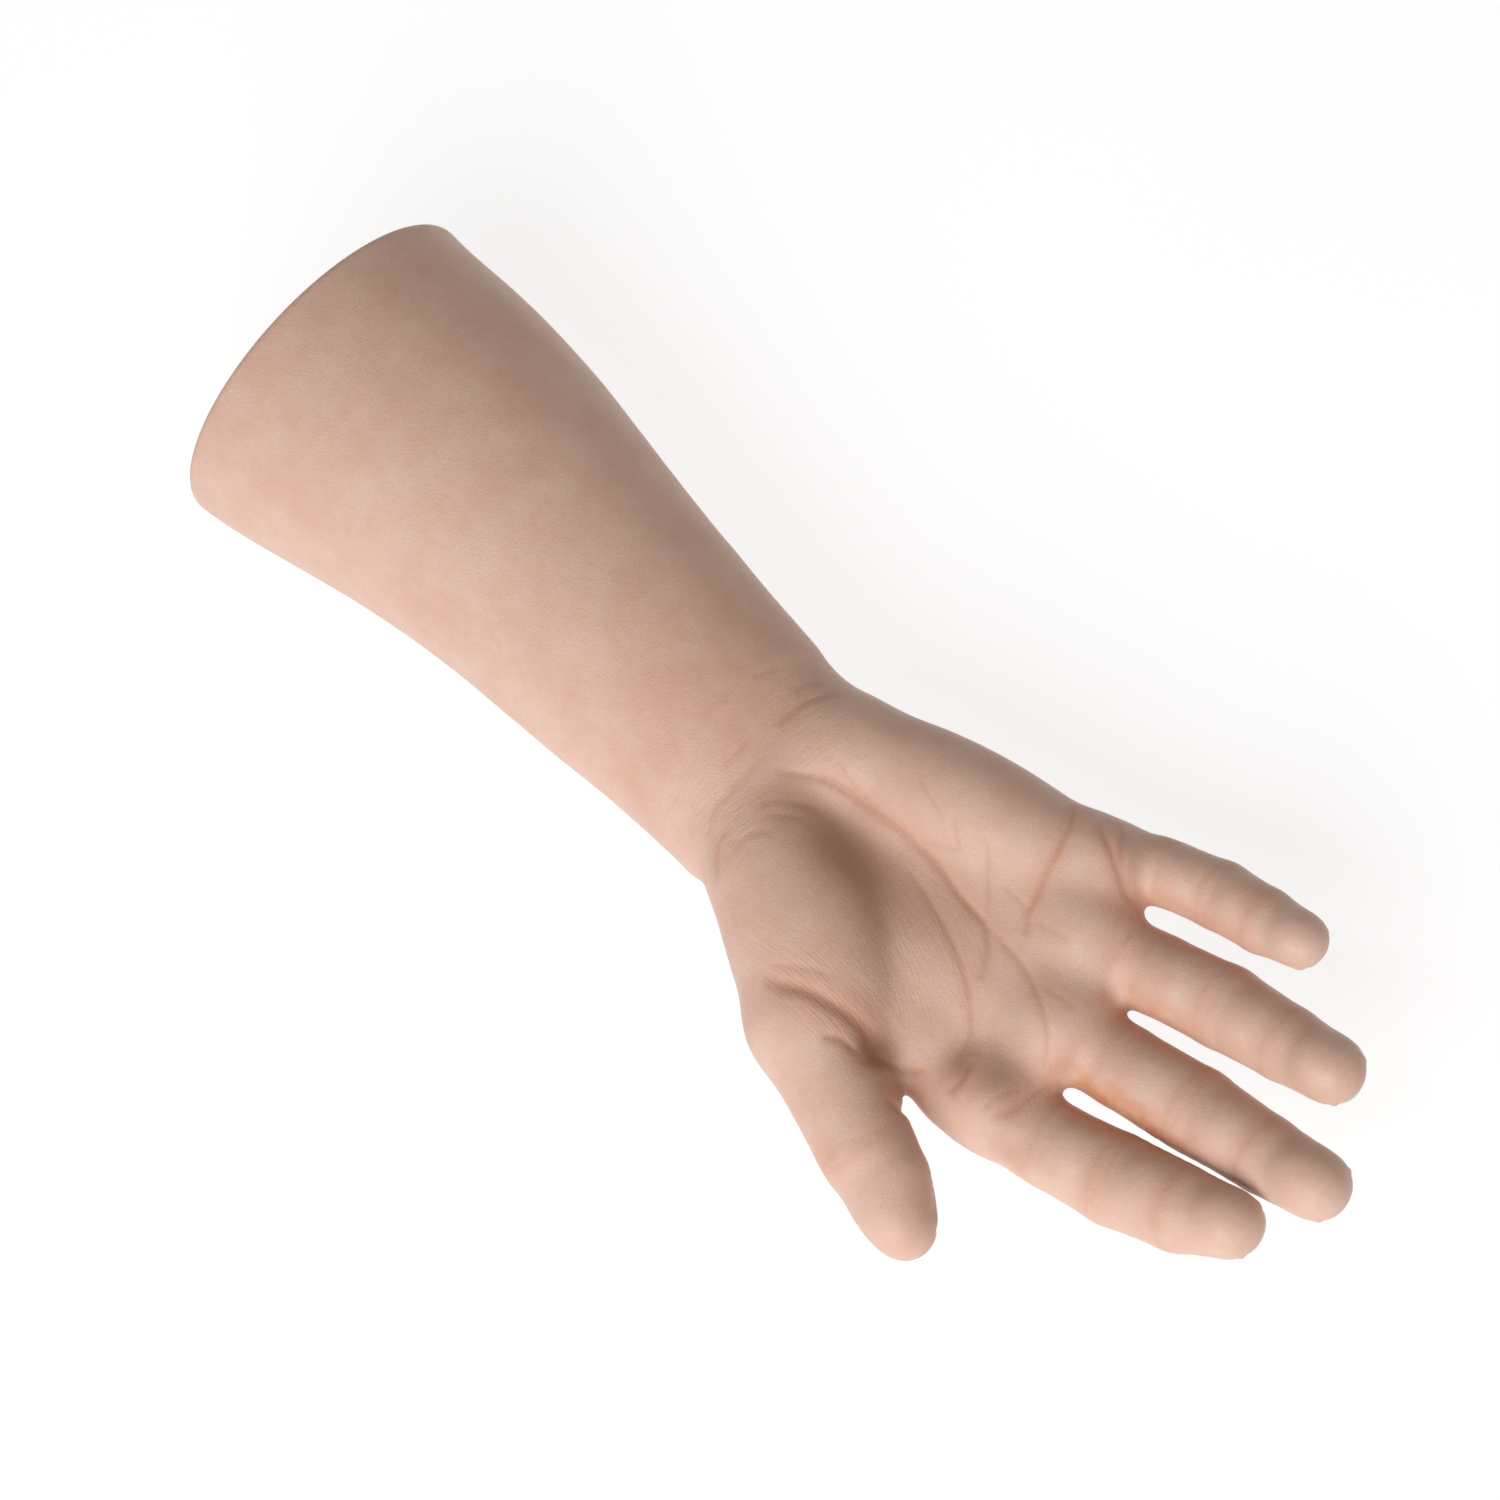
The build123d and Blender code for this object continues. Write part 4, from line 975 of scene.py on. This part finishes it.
streak_amount, grain_place = streak_fields(place_in_hand)
skin = {
    "points": moved,
    "rest": rest_points,
    "quads": skin_quads,
    "normals": vertex_normals(moved, skin_quads),
    "warm": np.maximum(warm_tone_and_shade_mask, web_warmth_and_shade(place_in_hand)),
    "crease": crease_tone_and_shade_mask,
    "dusk": painted_shade_mask(place_in_hand, first_normals),
    "streak": streak_amount,
    "grain": grain_place,
    "material": silicone(),
}
share_out(skin, fingers)

nail_material = nail_acrylic()
for finger_name, finger in fingers.items():
    plate = nail_piece(f"{finger_name}_nail_plate", finger["points"][3], finger["ways"][2], finger["pads"][2],
                       -finger["axis"], finger["nail"], field, f"{finger_name}_tip", nail_material)
    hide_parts(f"{finger_name}_nail")
plate = nail_piece("thumb_nail_plate", THUMB_TIP, THUMB_WAY, THUMB_PAD, THUMB_AXIS, THUMB_NAIL, field, "thumb_tip",
                   nail_material)
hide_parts("thumb_nail")
dress_inside()


# ---- Stage: floor, light and camera ----
TARGET = Vector((0.1606, 0.0018, 0.0))
TILT = math.radians(20.0)
ROLL = math.radians(42.364)
DISTANCE = 1.040
BACK = Vector((math.sin(TILT), 0, math.cos(TILT)))
FLAT_X, FLAT_Y = Vector((math.cos(TILT), 0, -math.sin(TILT))), Vector((0, 1, 0))
RIGHT = FLAT_X * math.cos(ROLL) + FLAT_Y * math.sin(ROLL)
ABOVE = FLAT_Y * math.cos(ROLL) - FLAT_X * math.sin(ROLL)


def floor():
    m, tree, shader = new_material("pale floor")
    place = tree.nodes.new("ShaderNodeTexCoord").outputs["Object"]
    tone = mapped(tree, noise(tree, place, 3.0, 2.0), 0.3, 0.7)
    tree.links.new(mixed(tree, tone, (0.20, 0.20, 0.20), (0.22, 0.22, 0.22)), shader.inputs["Base Color"])
    shader.inputs["Emission Color"].default_value = (1, 1, 1, 1)
    shader.inputs["Emission Strength"].default_value = 0.84
    shader.inputs["Roughness"].default_value = 0.9
    shader.inputs["Specular IOR Level"].default_value = 0.1
    low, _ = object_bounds()
    mesh = bpy.data.meshes.new("floor")
    mesh.from_pydata([(-6, -6, low.z), (6, -6, low.z), (6, 6, low.z), (-6, 6, low.z)], [], [(0, 1, 2, 3)])
    mesh.materials.append(m)
    obj = bpy.data.objects.new("floor", mesh)
    bpy.context.scene.collection.objects.link(obj)
    obj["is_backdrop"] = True


def lamp(name, direction, power, size, colour=(1, 1, 1)):
    light = bpy.data.lights.new(name, "AREA")
    light.energy, light.size, light.color = power, size, colour
    obj = bpy.data.objects.new(name, light)
    way = direction.normalized()
    obj.location = TARGET + way * 1.5
    obj.rotation_mode = "QUATERNION"
    obj.rotation_quaternion = (-way).to_track_quat("-Z", "Y")
    bpy.context.scene.collection.objects.link(obj)
    obj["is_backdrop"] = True


def world_light(strength, colour):
    world = bpy.data.worlds.new("studio")
    world.use_nodes = True
    background = world.node_tree.nodes["Background"]
    background.inputs["Color"].default_value = (*colour, 1)
    background.inputs["Strength"].default_value = strength
    bpy.context.scene.world = world


def camera():
    data = bpy.data.cameras.new("camera")
    data.lens, data.sensor_width = 100, 36
    obj = bpy.data.objects.new("camera", data)
    bpy.context.scene.collection.objects.link(obj)
    turn = Matrix((RIGHT, ABOVE, BACK)).transposed().to_4x4()
    obj.matrix_world = Matrix.Translation(TARGET + BACK * DISTANCE) @ turn
    bpy.context.scene.camera = obj


floor()
lamp("key", RIGHT * -0.5 - ABOVE * 0.7 + BACK * 1.08, 24.8, 1.2, (0.97, 0.985, 1.0))
lamp("fill", RIGHT * 0.9 + ABOVE * 0.3 + BACK * 1.0, 0.9, 1.4, (1.0, 0.92, 0.85))
world_light(0.235, (1.0, 0.86, 0.75))
camera()
bpy.context.scene.view_settings.view_transform = "Standard"
